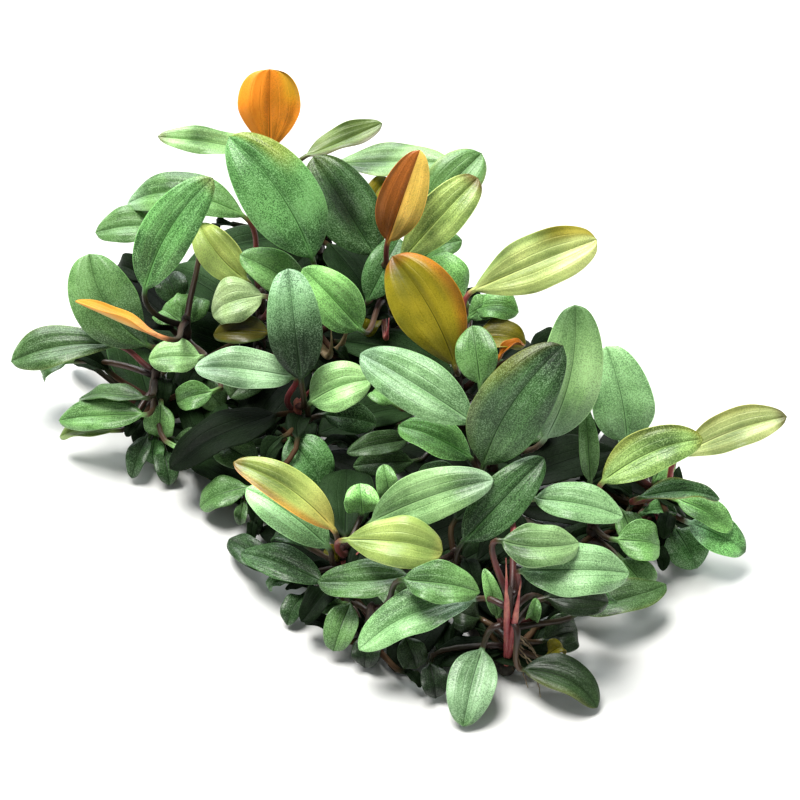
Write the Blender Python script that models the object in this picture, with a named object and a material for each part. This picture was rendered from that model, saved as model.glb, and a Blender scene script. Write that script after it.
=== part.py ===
"""Bucephalandra clump: creeping rhizomes with short stems, each carrying a whorl of stalked leaves.

Metres, +Z up. The clump rests on the flat cut underside of its rhizomes, at z = 0, with the
origin under the middle of its box. The front of the clump faces -Y.
"""
import math
from collections import namedtuple

import bpy
import numpy as np

MM = 0.001
SIDEWAYS = np.array((1.0, 0.0, 0.0))
UPWARD = np.array((0.0, 0.0, 1.0))

# Sizes of the plant's members, in millimetres
RHIZOME_RADIUS = 3.4
RHIZOME_TIP_RADIUS = 2.2
RHIZOME_AXIS_HEIGHT = 2.0
STEM_FOOT_RADIUS = 3.0
STEM_TOP_RADIUS = 2.0
STEM_FOOT_HEIGHT = 1.0
STEM_BENDS = (0.5, 0.93)
BUD_LENGTH = 1.5
BUD_TIP_RADIUS = 0.8
RHIZOME_OVERHANG = 2.5
RHIZOME_STOP = 4.6
STALK_RADIUS = 0.85
BLADE_EDGE_HALF = 0.25
BLADE_MID_HALF = 0.5
SMALL_BLADE_HALF = 0.4
BLADE_LEAST_HALF_WIDTH = 0.4
CLEARANCE = 0.4

# How leaves are set on a stem and how a blade is shaped; a stalk leaves its stem at a slope of
# rise to one and its curve is held straight over the grip share of its length at either end
STALK_RISE = 0.9
SMALL_STALK_RISE = 0.3
STALK_GRIP = 0.35
LOWEST_ATTACHMENT = 0.35
HIGHEST_ATTACHMENT = 0.96
OUTLINE_FULLNESS = 0.6
STALK_STATIONS = (0.0, 0.5)
STRAIGHT_STALK_STATIONS = (0.0,)
STRAIGHT_STALK_COSINE = 0.4
STALK_CORNERS = (30, 90, 150, 210, 270, 330)
SMALL_STALK_CORNERS = (45, 135, 225, 315)
BLADE_STATIONS = (0.04, 0.2, 0.44, 0.7, 0.91)
SMALL_BLADE_STATIONS = (0.05, 0.32, 0.76)
TUBE_SIDES = 6
UPRIGHT = 0.7

# The view that the plan was read from: places are picture columns and rows plus a height in mm
VIEW_ELEVATION = math.radians(42.0)
VIEW_DISTANCE = 1100.0
VIEW_WIDTH = 256.0
VIEW_PIXELS = 800.0
PLAN_SHIFT_X = 3.9
PLAN_SHIFT_Y = 39.0

COLOURS = {
    "dark": (0.045, 0.115, 0.055),
    "green": (0.09, 0.22, 0.09),
    "pale": (0.20, 0.38, 0.19),
    "lime": (0.42, 0.50, 0.14),
    "olive": (0.28, 0.26, 0.05),
    "orange": (0.62, 0.20, 0.03),
    "copper": (0.36, 0.13, 0.05),
    "rhizome": (0.10, 0.05, 0.03),
}
LEAF_ROUGHNESS = 0.5
RHIZOME_ROUGHNESS = 0.8

Crown = namedtuple("Crown", "foot top")
Leaf = namedtuple("Leaf", "name crown base tip width arch bend lean cup wide tint fused share")

# A crown's foot is on the ground (column, row); its top has a height as well
CROWNS = {
    "west": Crown(foot=(152, 430), top=(157, 370, 24)),
    "north_west": Crown(foot=(190, 385), top=(186, 318, 30)),
    "inner_west": Crown(foot=(258, 372), top=(262, 292, 34)),
    "north": Crown(foot=(318, 288), top=(318, 205, 36)),
    "mid_north": Crown(foot=(318, 365), top=(312, 278, 38)),
    "north_east": Crown(foot=(385, 352), top=(382, 258, 40)),
    "east_centre": Crown(foot=(458, 440), top=(458, 352, 38)),
    "south_west": Crown(foot=(298, 455), top=(297, 402, 22)),
    "far_west": Crown(foot=(268, 520), top=(262, 480, 16)),
    "centre": Crown(foot=(492, 520), top=(492, 435, 36)),
    "inner_east": Crown(foot=(592, 560), top=(592, 500, 26)),
    "east": Crown(foot=(655, 525), top=(655, 482, 20)),
    "middle": Crown(foot=(455, 598), top=(455, 552, 22)),
    "front": Crown(foot=(506, 672), top=(510, 590, 36)),
    "front_west": Crown(foot=(345, 590), top=(345, 545, 20)),
    "front_low": Crown(foot=(372, 650), top=(372, 606, 18)),
}

# Each rhizome runs through its crowns and stops just short of the one that it branches from
RHIZOMES = {
    "rhizome_west": (("west", "north_west"), "inner_west"),
    "rhizome_south_west": (("far_west", "south_west"), "inner_west"),
    "rhizome_north": (("north",), "mid_north"),
    "rhizome_mid_north": (("inner_west", "mid_north"), "north_east"),
    "rhizome_north_east": (("north_east",), "east_centre"),
    "rhizome_east_centre": (("east_centre",), "centre"),
    "rhizome_centre": (("centre", "middle"), None),
    "rhizome_east": (("east", "inner_east"), "centre"),
    "rhizome_front": (("front",), "middle"),
    "rhizome_front_west": (("front_low", "front_west"), "middle"),
}


def leaf(name, crown, base, tip, width, arch=2.5, bend=0.0, lean=35.0, cup=1.2, wide=0.46,
         tint="green", fused=False, share=None):
    """A leaf's blade from base to tip (column, row, height), with sizes in mm and degrees.

    lean turns the upper face from level towards the front. arch lifts the middle of the midrib off
    its chord, bend pushes it sideways, cup lifts the edges, and wide is the share of the blade's
    length where it is widest. A fused leaf is a small one that is joined to its stem's node. share
    is the leaf's place up the stem; leaves without one are spaced evenly.
    """
    return Leaf(name, crown, base, tip, width, arch, bend, lean, cup, wide, tint, fused, share)


# Leaves of each crown, from the lowest on its stem to the highest; the ones called shade are those
# inside and behind the clump, which no single view shows well
MEASURED_LEAVES = (
    leaf("leaf_shade_west", "west", (175, 440, 8), (205, 452, 6), 10, fused=True),
    leaf("leaf_west_low", "west", (148, 437, 10), (131, 479, 3), 7, lean=10, tint="dark", fused=True),
    leaf("leaf_west_shaded", "west", (164, 452, 7), (170, 486, 2), 8, lean=10, tint="dark", fused=True),
    leaf("leaf_west_side", "west", (174, 446, 14), (198, 463, 9), 7, lean=20, fused=True),
    leaf("leaf_west_inner", "west", (161, 405, 18), (160, 442, 8), 10, lean=20, fused=True),
    leaf("leaf_west_rolled", "west", (112, 431, 12), (58, 436, 8), 8, lean=10, tint="lime", fused=True),
    leaf("leaf_west_front", "west", (143, 415, 22), (58, 420, 15), 12, arch=1.5, lean=15),
    leaf("leaf_west_grey", "west", (143, 398, 26), (77, 393, 21), 9, arch=1, lean=0, fused=True),
    leaf("leaf_west_under", "west", (66, 362, 17), (38, 380, 11), 8, lean=10, fused=True),
    leaf("leaf_west_outer", "west", (118, 346, 29), (10, 361, 23), 15, bend=1.5, lean=15, wide=0.6),
    leaf("leaf_shade_north_west", "north_west", (184, 322, 22), (200, 292, 26), 12, fused=True),
    leaf("leaf_shade_north_west_front", "north_west", (200, 385, 10), (224, 408, 7), 11, fused=True),
    leaf("leaf_north_west_small", "north_west", (212, 392, 22), (174, 403, 18), 9, fused=True),
    leaf("leaf_north_west_low", "north_west", (180, 322, 25), (160, 309, 24), 10, fused=True),
    leaf("leaf_north_west_dark", "north_west", (178, 303, 25), (166, 272, 30), 11, fused=True, tint="dark"),
    leaf("leaf_north_west_pale", "north_west", (200, 357, 27), (148, 358, 28), 12.5, 1, lean=20, cup=0.6,
         tint="pale"),
    leaf("leaf_north_west_broad", "north_west", (147, 345, 30), (89, 253, 54), 21, bend=-4, lean=45,
         wide=0.52),
    leaf("leaf_north_west_back", "north_west", (185, 230, 46), (94, 231, 46), 14, lean=3, wide=0.58),
    leaf("leaf_north_west_upright", "north_west", (145, 289, 44), (213, 178, 76), 17, bend=-3, lean=48,
         tint="dark"),
    leaf("leaf_north_west_orange", "north_west", (159, 336, 46), (76, 300, 60), 10, 0, lean=-22,
         tint="orange"),
    leaf("leaf_shade_inner_west_front", "inner_west", (256, 372, 12), (230, 398, 12), 12, fused=True),
    leaf("leaf_shade_inner_west_back", "inner_west", (258, 300, 24), (240, 258, 28), 11, fused=True),
    leaf("leaf_inner_west_olive", "inner_west", (268, 333, 34), (212, 334, 33), 11, lean=20, tint="olive",
         fused=True),
    leaf("leaf_inner_west_curled", "inner_west", (262, 296, 42), (207, 315, 36), 16, 4, lean=25,
         tint="pale"),
    leaf("leaf_inner_west_lime", "inner_west", (246, 280, 42), (199, 222, 54), 13, bend=-2, tint="lime"),
    leaf("leaf_inner_west_arched", "inner_west", (243, 216, 54), (125, 203, 50), 16, arch=8, lean=10),
    leaf("leaf_north_pale", "north", (266, 152, 53), (158, 135, 60), 11, arch=0.5, lean=0, tint="pale"),
    leaf("leaf_north_back", "north", (336, 164, 50), (450, 162, 58), 15, arch=1, lean=0, tint="pale"),
    leaf("leaf_north_folded", "north", (306, 156, 60), (382, 123, 68), 10, arch=0, lean=-10, tint="lime"),
    leaf("leaf_north_orange", "north", (270, 152, 60), (270, 69, 84), 21, arch=1, lean=48, wide=0.6,
         tint="orange"),
    leaf("leaf_mid_north_grey", "mid_north", (305, 292, 38), (240, 254, 53), 14, lean=30, fused=True),
    leaf("leaf_mid_north_large", "mid_north", (312, 257, 54), (228, 135, 86), 25, 4, bend=3, lean=48,
         tint="dark"),
    leaf("leaf_shade_north_east", "north_east", (398, 305, 20), (436, 290, 24), 13, fused=True),
    leaf("leaf_shade_north_east_back", "north_east", (385, 290, 24), (404, 252, 24), 12, fused=True),
    leaf("leaf_north_east_low", "north_east", (375, 318, 17), (366, 338, 15), 6, fused=True, tint="olive"),
    leaf("leaf_north_east_hidden", "north_east", (360, 329, 32), (303, 268, 53), 16, lean=40),
    leaf("leaf_north_east_small", "north_east", (366, 210, 44), (388, 176, 50), 7, fused=True,
         tint="olive"),
    leaf("leaf_north_east_side", "north_east", (418, 222, 44), (482, 152, 62), 17, wide=0.6),
    leaf("leaf_north_east_dark", "north_east", (374, 254, 40), (313, 156, 62), 21, lean=40, tint="dark"),
    leaf("leaf_north_east_pale", "north_east", (400, 262, 42), (478, 177, 66), 15, lean=42, wide=0.55,
         tint="pale"),
    leaf("leaf_north_east_copper", "north_east", (388, 241, 52), (420, 150, 80), 15, lean=45,
         tint="copper"),
    leaf("leaf_east_centre_curl", "east_centre", (408, 440, 14), (346, 452, 16), 8, fused=True),
    leaf("leaf_east_centre_dark", "east_centre", (412, 462, 8), (352, 466, 8), 9, fused=True),
    leaf("leaf_shade_east_centre_right", "east_centre", (480, 395, 14), (520, 370, 18), 13, fused=True),
    leaf("leaf_east_centre_blue", "east_centre", (463, 296, 36), (427, 256, 46), 14, fused=True),
    leaf("leaf_east_centre_low", "east_centre", (475, 337, 37), (527, 344, 36), 11, lean=10, tint="olive",
         fused=True),
    leaf("leaf_east_centre_back", "east_centre", (477, 310, 40), (520, 311, 42), 12, lean=10, fused=True),
    leaf("leaf_east_centre_olive", "east_centre", (455, 366, 44), (392, 256, 70), 22, bend=2, lean=48,
         wide=0.54, tint="olive"),
    leaf("leaf_east_centre_lime", "east_centre", (474, 290, 50), (597, 239, 66), 18, lean=40, wide=0.54,
         tint="lime"),
    leaf("leaf_south_west_round", "south_west", (290, 438, 18), (325, 487, 8), 15.5, lean=25, tint="dark"),
    leaf("leaf_south_west_low", "south_west", (325, 415, 16), (378, 424, 12), 10, fused=True, tint="dark"),
    leaf("leaf_south_west_right", "south_west", (311, 402, 25), (372, 379, 32), 16, bend=-1, tint="pale"),
    leaf("leaf_south_west_left", "south_west", (293, 377, 32), (194, 366, 38), 14, lean=25, tint="pale"),
    leaf("leaf_south_west_dark", "south_west", (301, 379, 34), (288, 268, 62), 17, lean=48, tint="dark"),
    leaf("leaf_shade_far_west_back", "far_west", (258, 465, 12), (212, 440, 12), 12, fused=True),
    leaf("leaf_far_west_low", "far_west", (247, 488, 11), (198, 507, 5), 11, lean=15, fused=True),
    leaf("leaf_far_west_small", "far_west", (243, 503, 8), (240, 527, 3), 4, fused=True),
    leaf("leaf_shade_centre_left", "centre", (462, 485, 14), (415, 482, 12), 13, fused=True),
    leaf("leaf_shade_centre_back", "centre", (512, 440, 16), (545, 410, 20), 14, fused=True),
    leaf("leaf_centre_front", "centre", (470, 458, 26), (397, 423, 31), 13, lean=15),
    leaf("leaf_centre_left", "centre", (472, 422, 43), (359, 352, 48), 18, lean=35, arch=4),
    leaf("leaf_centre_grey", "centre", (480, 383, 44), (472, 325, 56), 13, lean=40, fused=True),
    leaf("leaf_centre_frosted", "centre", (546, 437, 48), (575, 305, 86), 19, bend=3, lean=46, tint="pale"),
    leaf("leaf_centre_large", "centre", (484, 464, 48), (563, 346, 86), 23, 4, bend=-3, lean=46,
         tint="dark"),
    leaf("leaf_middle_right", "middle", (464, 541, 32), (544, 457, 53), 14.5, lean=40, tint="dark"),
    leaf("leaf_middle_left", "middle", (408, 576, 27), (317, 581, 21), 13, arch=0.5, bend=-1, lean=10),
    leaf("leaf_inner_east_low", "inner_east", (622, 560, 16), (650, 594, 7), 11, fused=True),
    leaf("leaf_inner_east_small", "inner_east", (618, 540, 22), (662, 545, 18), 13, fused=True),
    leaf("leaf_inner_east_twisted", "inner_east", (590, 481, 32), (585, 405, 56), 6, fused=True),
    leaf("leaf_inner_east_long", "inner_east", (603, 482, 38), (704, 438, 48), 14, bend=-2, lean=30),
    leaf("leaf_shade_east_back", "east", (645, 465, 12), (632, 425, 16), 13, fused=True),
    leaf("leaf_east_dark", "east", (676, 530, 9), (698, 569, 3), 14, fused=True, tint="dark"),
    leaf("leaf_east_low", "east", (690, 523, 16), (747, 552, 9), 12, lean=28, tint="dark"),
    leaf("leaf_east_curved", "east", (678, 500, 22), (733, 530, 17), 9, lean=20, fused=True),
    leaf("leaf_east_level", "east", (640, 498, 30), (721, 498, 28), 8, arch=3.5, lean=5, tint="dark"),
    leaf("leaf_east_frosted", "east", (627, 440, 34), (606, 346, 60), 19, bend=1, lean=42, wide=0.38),
    leaf("leaf_east_lime", "east", (680, 456, 36), (787, 416, 50), 12.5, bend=-1, lean=30, wide=0.54,
         tint="lime"),
    leaf("leaf_shade_front_right", "front", (545, 640, 8), (580, 630, 8), 12, fused=True),
    leaf("leaf_shade_front_left", "front", (478, 618, 13), (450, 612, 14), 12, fused=True),
    leaf("leaf_front_under", "front", (548, 598, 24), (610, 602, 22), 11, fused=True),
    leaf("leaf_front_shaded", "front", (430, 664, 9), (436, 700, 2), 8, lean=10, tint="dark", fused=True,
         share=0.33),
    leaf("leaf_front_tip", "front", (482, 650, 13), (463, 727, 3), 14.5, bend=0.5, lean=30),
    leaf("leaf_front_low", "front", (524, 670, 9), (599, 707, 3), 13, bend=-2.5, lean=15),
    leaf("leaf_front_east", "front", (572, 606, 10), (667, 583, 12), 12, bend=3, lean=12),
    leaf("leaf_front_long", "front", (474, 599, 26), (357, 648, 18), 15, arch=2, bend=2.5, lean=15),
    leaf("leaf_front_right", "front", (521, 571, 41), (631, 572, 38), 17, lean=30, share=0.92),
    leaf("leaf_front_pale", "front", (502, 541, 50), (580, 541, 48), 14, arch=1, bend=2, lean=25,
         tint="pale"),
    leaf("leaf_front_back", "front", (535, 499, 42), (625, 515, 41), 13, lean=20, share=0.8),
    leaf("leaf_front_west_back", "front_west", (303, 596, 6), (286, 626, 2), 7, lean=5, tint="dark",
         fused=True),
    leaf("leaf_shade_front_west", "front_west", (380, 580, 10), (410, 600, 10), 12, fused=True),
    leaf("leaf_front_west_dark", "front_west", (275, 572, 6), (228, 538, 5), 9, fused=True, tint="dark"),
    leaf("leaf_front_west_low", "front_west", (322, 582, 12), (240, 552, 12), 12, lean=15, tint="dark"),
    leaf("leaf_front_west_long", "front_west", (328, 547, 22), (245, 487, 28), 14, bend=1, lean=30),
    leaf("leaf_front_west_right", "front_west", (372, 522, 32), (493, 479, 51), 16, bend=-1, tint="pale"),
    leaf("leaf_front_west_inner", "front_west", (362, 512, 22), (360, 482, 32), 11, fused=True),
    leaf("leaf_front_west_slim", "front_west", (390, 500, 20), (383, 463, 32), 7, fused=True),
    leaf("leaf_front_west_lime", "front_west", (345, 540, 34), (444, 548, 38), 17, lean=25, wide=0.58,
         tint="lime"),
    leaf("leaf_front_west_pale", "front_west", (333, 529, 32), (233, 462, 46), 12, bend=2.5, tint="lime"),
    leaf("leaf_front_low_olive", "front_low", (344, 604, 8), (313, 610, 5), 5, fused=True),
    leaf("leaf_front_low_side", "front_low", (405, 638, 12), (418, 670, 4), 9, fused=True),
    leaf("leaf_front_low_under", "front_low", (372, 638, 8), (364, 669, 2), 9, lean=5, tint="dark",
         fused=True),
    leaf("leaf_front_low_small", "front_low", (350, 605, 13), (333, 652, 5), 10, lean=20, fused=True),
    leaf("leaf_front_low_right", "front_low", (404, 580, 33), (483, 591, 32), 13, lean=29),
)


# Leaves deep in the shade of the others: compass direction in degrees from the back, height of the
# blade's base and length of the blade in mm
SHADE_WHORLS = {
    "west": ((345, 8, 38),),
    "north_west": ((165, 5, 32), (315, 20, 38)),
    "inner_west": ((300, 5, 38), (315, 20, 38)),
    "north": ((255, 24, 38), (150, 24, 29)),
    "mid_north": ((105, 12, 38), (210, 8, 38)),
    "north_east": ((75, 5, 38), (285, 5, 35)),
    "east_centre": ((30, 12, 38), (90, 8, 38)),
    "south_west": ((60, 5, 35), (240, 20, 38), (135, 5, 38)),
    "far_west": ((315, 5, 26),),
    "centre": ((60, 12, 38), (240, 4, 38), (90, 5, 38), (315, 5, 38)),
    "inner_east": ((210, 13, 32),),
    "east": ((345, 5, 38),),
    "middle": ((210, 5, 29), (130, 8, 24)),
    "front": ((0, 5, 38),),
    "front_west": ((0, 16, 35), (315, 5, 29)),
}
SHADE_STALK = 7.5
SHADE_STALK_RISE = 3.0
SHADE_LOWEST_SHARE = 0.12
SHADE_HIGHEST_SHARE = 0.92
SHADE_DROP = 3.0
SHADE_LEAST_HEIGHT = 1.5
SHADE_SLENDERNESS = 0.5


def in_plan(column, row, height):
    """Plan place, in mm, of the point at this height that the view shows at this column and row."""
    forward = np.array((0.0, math.cos(VIEW_ELEVATION), -math.sin(VIEW_ELEVATION)))
    upward = np.array((0.0, math.sin(VIEW_ELEVATION), math.cos(VIEW_ELEVATION)))
    slope = VIEW_WIDTH / VIEW_DISTANCE / VIEW_PIXELS
    ray = forward + SIDEWAYS * (column - VIEW_PIXELS / 2) * slope + upward * (VIEW_PIXELS / 2 - row) * slope
    eye = -forward * VIEW_DISTANCE
    reach = (height - eye[2]) / ray[2]
    return eye + ray * reach + np.array((PLAN_SHIFT_X, PLAN_SHIFT_Y, 0.0))


def unit(vector):
    return vector / np.linalg.norm(vector)


def bezier(points, t):
    a, b, c, d = points
    place = (1 - t) ** 3 * a + 3 * (1 - t) ** 2 * t * b + 3 * (1 - t) * t ** 2 * c + t ** 3 * d
    along = (1 - t) ** 2 * (b - a) + 2 * (1 - t) * t * (c - b) + t ** 2 * (d - c)
    return place, unit(along)


def stem_axis(crown):
    foot = in_plan(*CROWNS[crown].foot, 0.0)
    top = in_plan(*CROWNS[crown].top)
    return foot, top


def attachment(row):
    """Where a leaf meets its stem: at its share, or evenly spaced in the order of the table."""
    share = row.share
    if share is None:
        siblings = [other.name for other in MEASURED_LEAVES if other.crown == row.crown]
        step = siblings.index(row.name) / max(len(siblings) - 1, 1)
        share = LOWEST_ATTACHMENT + (HIGHEST_ATTACHMENT - LOWEST_ATTACHMENT) * step
    foot, top = stem_axis(row.crown)
    radius = STEM_FOOT_RADIUS + (STEM_TOP_RADIUS - STEM_FOOT_RADIUS) * share
    return foot + (top - foot) * share, radius


def shade_leaf(name, crown, compass, height, length):
    """A dark leaf low on its stem that points outward, with its tip a little lower than its base."""
    foot, top = stem_axis(crown)
    share = min(max((height - SHADE_STALK_RISE) / top[2], SHADE_LOWEST_SHARE), SHADE_HIGHEST_SHARE)
    bearing = math.radians(compass)
    outward = np.array((math.sin(bearing), math.cos(bearing), 0.0))
    base = (foot + (top - foot) * share + outward * SHADE_STALK) * (1.0, 1.0, 0.0) + UPWARD * height
    tip = base + outward * length - UPWARD * min(SHADE_DROP, height - SHADE_LEAST_HEIGHT)
    return leaf(name, crown, base, tip, length * SHADE_SLENDERNESS, lean=0, tint="dark", fused=True,
                share=share)


def all_leaves():
    """The measured leaves and those of the shade whorls."""
    rows = list(MEASURED_LEAVES)
    for crown, whorl in SHADE_WHORLS.items():
        for index, (compass, height, length) in enumerate(whorl):
            rows.append(shade_leaf(f"leaf_shade_{crown}_whorl_{index}", crown, compass, height, length))
    return rows


def placed(place):
    """A place in mm, whether it is given in mm or as a column, a row and a height."""
    return place if isinstance(place, np.ndarray) else in_plan(*place)


def leaf_curves(row):
    """The stalk's and the midrib's curves, with the blade's side and normal directions."""
    base = placed(row.base)
    tip = placed(row.tip)
    chord = unit(tip - base)
    lean = math.radians(row.lean)
    face = np.array((0.0, -math.sin(lean), math.cos(lean)))
    across = unit(np.cross(chord, face))
    normal = np.cross(across, chord)
    bulge = (normal * row.arch + across * row.bend) * 4 / 3
    third = (tip - base) / 3
    midrib = (base, base + third + bulge, tip - third + bulge, tip)

    joint, radius = attachment(row)
    outward = base - joint
    outward[2] = 0.0
    outward = unit(outward)
    start = joint if row.fused else joint + outward * (radius + STALK_RADIUS + CLEARANCE)
    reach = np.linalg.norm(base - start)
    if row.fused:
        leaving = unit(unit(base - start) + UPWARD * SMALL_STALK_RISE)
    else:
        leaving = unit(outward + UPWARD * STALK_RISE)
    arriving = unit(midrib[1] - midrib[0])
    grip = reach * STALK_GRIP
    stalk = (start, start + leaving * grip, base - arriving * grip, base)
    return stalk, midrib, across


def half_width(row, t):
    power = math.log(0.5) / math.log(row.wide)
    share = max(math.sin(math.pi * t ** power), 0.0) ** OUTLINE_FULLNESS
    return max(row.width / 2 * share, BLADE_LEAST_HALF_WIDTH)


def leaf_rings(row):
    """Rings of points over the upper face from left to right and back under the lower face.

    A separate leaf has a middle point on each face for its midrib; a small fused one is flat. The
    last ring is a single point, the blade's tip.
    """
    stalk, midrib, across = leaf_curves(row)
    straight = unit(stalk[3] - stalk[0]).dot(unit(midrib[1] - midrib[0])) > STRAIGHT_STALK_COSINE
    stalk_stations = STRAIGHT_STALK_STATIONS if row.fused and straight else STALK_STATIONS
    blade_stations = SMALL_BLADE_STATIONS if row.fused else BLADE_STATIONS
    corners = SMALL_STALK_CORNERS if row.fused else STALK_CORNERS
    rings = []
    for s in stalk_stations:
        place, along = bezier(stalk, s)
        left = -unit(across - along * across.dot(along))
        up = np.cross(along, left)
        ring = []
        for degrees in corners:
            angle = math.radians(degrees)
            ring.append(place + (left * math.cos(angle) + up * math.sin(angle)) * STALK_RADIUS)
        rings.append(ring)
    for t in blade_stations:
        place, along = bezier(midrib, t)
        left = -unit(across - along * across.dot(along))
        up = np.cross(along, left)
        half = half_width(row, t)
        lift = 0.0 if row.fused else row.cup * (2 * half / row.width) ** 2
        edge = SMALL_BLADE_HALF if row.fused else BLADE_EDGE_HALF
        upper = [place + left * half + up * (lift + edge), place - left * half + up * (lift + edge)]
        lower = [place - left * half + up * (lift - edge), place + left * half + up * (lift - edge)]
        if not row.fused:
            upper.insert(1, place + up * BLADE_MID_HALF)
            lower.insert(1, place - up * BLADE_MID_HALF)
        rings.append(upper + lower)
    rings.append([midrib[-1]])
    return rings


def tube_rings(points, radii, flat):
    """Rings of a round member; flat ones are cut off level with the ground."""
    rings = []
    for index, (point, radius) in enumerate(zip(points, radii)):
        before = points[max(index - 1, 0)]
        after = points[min(index + 1, len(points) - 1)]
        along = unit(after - before)
        across = SIDEWAYS if abs(along[2]) > UPRIGHT else UPWARD
        left = unit(np.cross(across, along))
        up = np.cross(along, left)
        ring = []
        for k in range(TUBE_SIDES):
            angle = math.tau * k / TUBE_SIDES
            place = point + (left * math.cos(angle) + up * math.sin(angle)) * radius
            if flat:
                place[2] = max(place[2], 0.0)
            ring.append(place)
        rings.append(ring)
    return rings


def mesh_from_rings(name, rings):
    """A closed mesh lofted through rings of equal count; the last may be one point, or gets a cap."""
    count = len(rings[0])
    vertices = []
    for ring in rings:
        for place in ring:
            vertices.append(tuple(place * MM))
    full_rings = [ring for ring in rings if len(ring) == count]
    last = (len(full_rings) - 1) * count
    faces = [tuple(reversed(range(count)))]
    for start in range(0, last, count):
        for k in range(count):
            a = start + k
            b = start + (k + 1) % count
            faces.append((a, b, b + count, a + count))
    if len(full_rings) == len(rings):
        faces.append(tuple(range(last, last + count)))
    else:
        for k in range(count):
            faces.append((last + k, last + (k + 1) % count, last + count))
    mesh = bpy.data.meshes.new(name)
    mesh.from_pydata(vertices, [], faces)
    mesh.validate()
    return mesh


def finish(name, tint, roughness):
    """A material of the piece's own with its colour and roughness."""
    material = bpy.data.materials.new(name)
    material.use_nodes = True
    shader = material.node_tree.nodes["Principled BSDF"]
    shader.inputs["Base Color"].default_value = (*COLOURS[tint], 1.0)
    shader.inputs["Roughness"].default_value = roughness
    shader.inputs["Metallic"].default_value = 0.0
    return material


def add_object(name, mesh, collection):
    piece = bpy.data.objects.new(name, mesh)
    collection.objects.link(piece)
    return piece


def add_helper(name, mesh, collection):
    """A body that is only joined into another by a Boolean."""
    piece = add_object(name, mesh, collection)
    piece.hide_render = True
    piece.display_type = "WIRE"
    return piece


def creeping_path(crowns, parent):
    """Points of a rhizome's axis along its crowns' feet, stopping short of its parent's side."""
    feet = []
    for crown in crowns:
        feet.append(stem_axis(crown)[0])
    first_run = unit(feet[0] - (feet[1] if len(feet) > 1 else stem_axis(parent)[0]))
    points = [feet[0] + first_run * RHIZOME_OVERHANG]
    points.extend(feet)
    if parent:
        goal = stem_axis(parent)[0]
        run = unit(goal - feet[-1])
        points.append(goal - run * RHIZOME_STOP)
    else:
        points.append(feet[-1] + unit(feet[-1] - feet[-2]) * RHIZOME_OVERHANG)
    for point in points:
        point[2] = RHIZOME_AXIS_HEIGHT
    return points


def build_rhizome(name, crowns, parent, leaves, scene_collection):
    """One rhizome with its stems and the small leaves that are fused to them."""
    points = creeping_path(crowns, parent)
    radii = [RHIZOME_RADIUS] * len(points)
    radii[0] = RHIZOME_TIP_RADIUS
    radii[-1] = RHIZOME_TIP_RADIUS
    body = add_object(name, mesh_from_rings(name, tube_rings(points, radii, True)), scene_collection)
    body.data.materials.append(finish(name, "rhizome", RHIZOME_ROUGHNESS))

    parts = bpy.data.collections.new(name + "_parts")
    bpy.context.scene.collection.children.link(parts)
    for crown in crowns:
        foot, top = stem_axis(crown)
        foot = foot + UPWARD * STEM_FOOT_HEIGHT
        axis = [foot] + [foot + (top - foot) * share for share in STEM_BENDS] + [top + UPWARD * BUD_LENGTH]
        middle_radius = (STEM_FOOT_RADIUS + STEM_TOP_RADIUS) / 2
        radii = [STEM_FOOT_RADIUS, middle_radius, STEM_TOP_RADIUS, BUD_TIP_RADIUS]
        add_helper(name + "_stem_" + crown, mesh_from_rings("stem", tube_rings(axis, radii, False)), parts)
        for row in leaves:
            if row.crown == crown and row.fused:
                add_helper(row.name, mesh_from_rings(row.name, leaf_rings(row)), parts)
    union = body.modifiers.new("grown together", "BOOLEAN")
    union.operation = "UNION"
    union.operand_type = "COLLECTION"
    union.collection = parts
    union.solver = "EXACT"
    union.use_self = True
    return body


def main():
    for old in list(bpy.data.objects):
        bpy.data.objects.remove(old, do_unlink=True)
    collection = bpy.context.scene.collection
    leaves = all_leaves()
    for row in leaves:
        if not row.fused:
            piece = add_object(row.name, mesh_from_rings(row.name, leaf_rings(row)), collection)
            piece.data.materials.append(finish(row.name, row.tint, LEAF_ROUGHNESS))
    for name, (crowns, parent) in RHIZOMES.items():
        build_rhizome(name, crowns, parent, leaves, collection)


main()
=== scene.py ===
# %% [markdown]
# # A creeping water plant, leaf by leaf
# The clump is one plant: rhizomes creep on the ground, short stems rise from them, and every stem
# carries a whorl of stalked leaves. The imported solids say where each rhizome, stem and leaf is. This
# script dresses them: fine leaf meshes in place of the coarse ones, many small leaves in the shade,
# bark, rolled young leaves and roots, and the waxy, speckled finish of the blades.
#
# We start by loading the frame and keeping its box, so that the leaves grown in the shade can be kept
# inside it.

import math
from collections import namedtuple

import bpy
import numpy as np
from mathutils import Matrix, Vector
from mathutils.bvhtree import BVHTree


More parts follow.
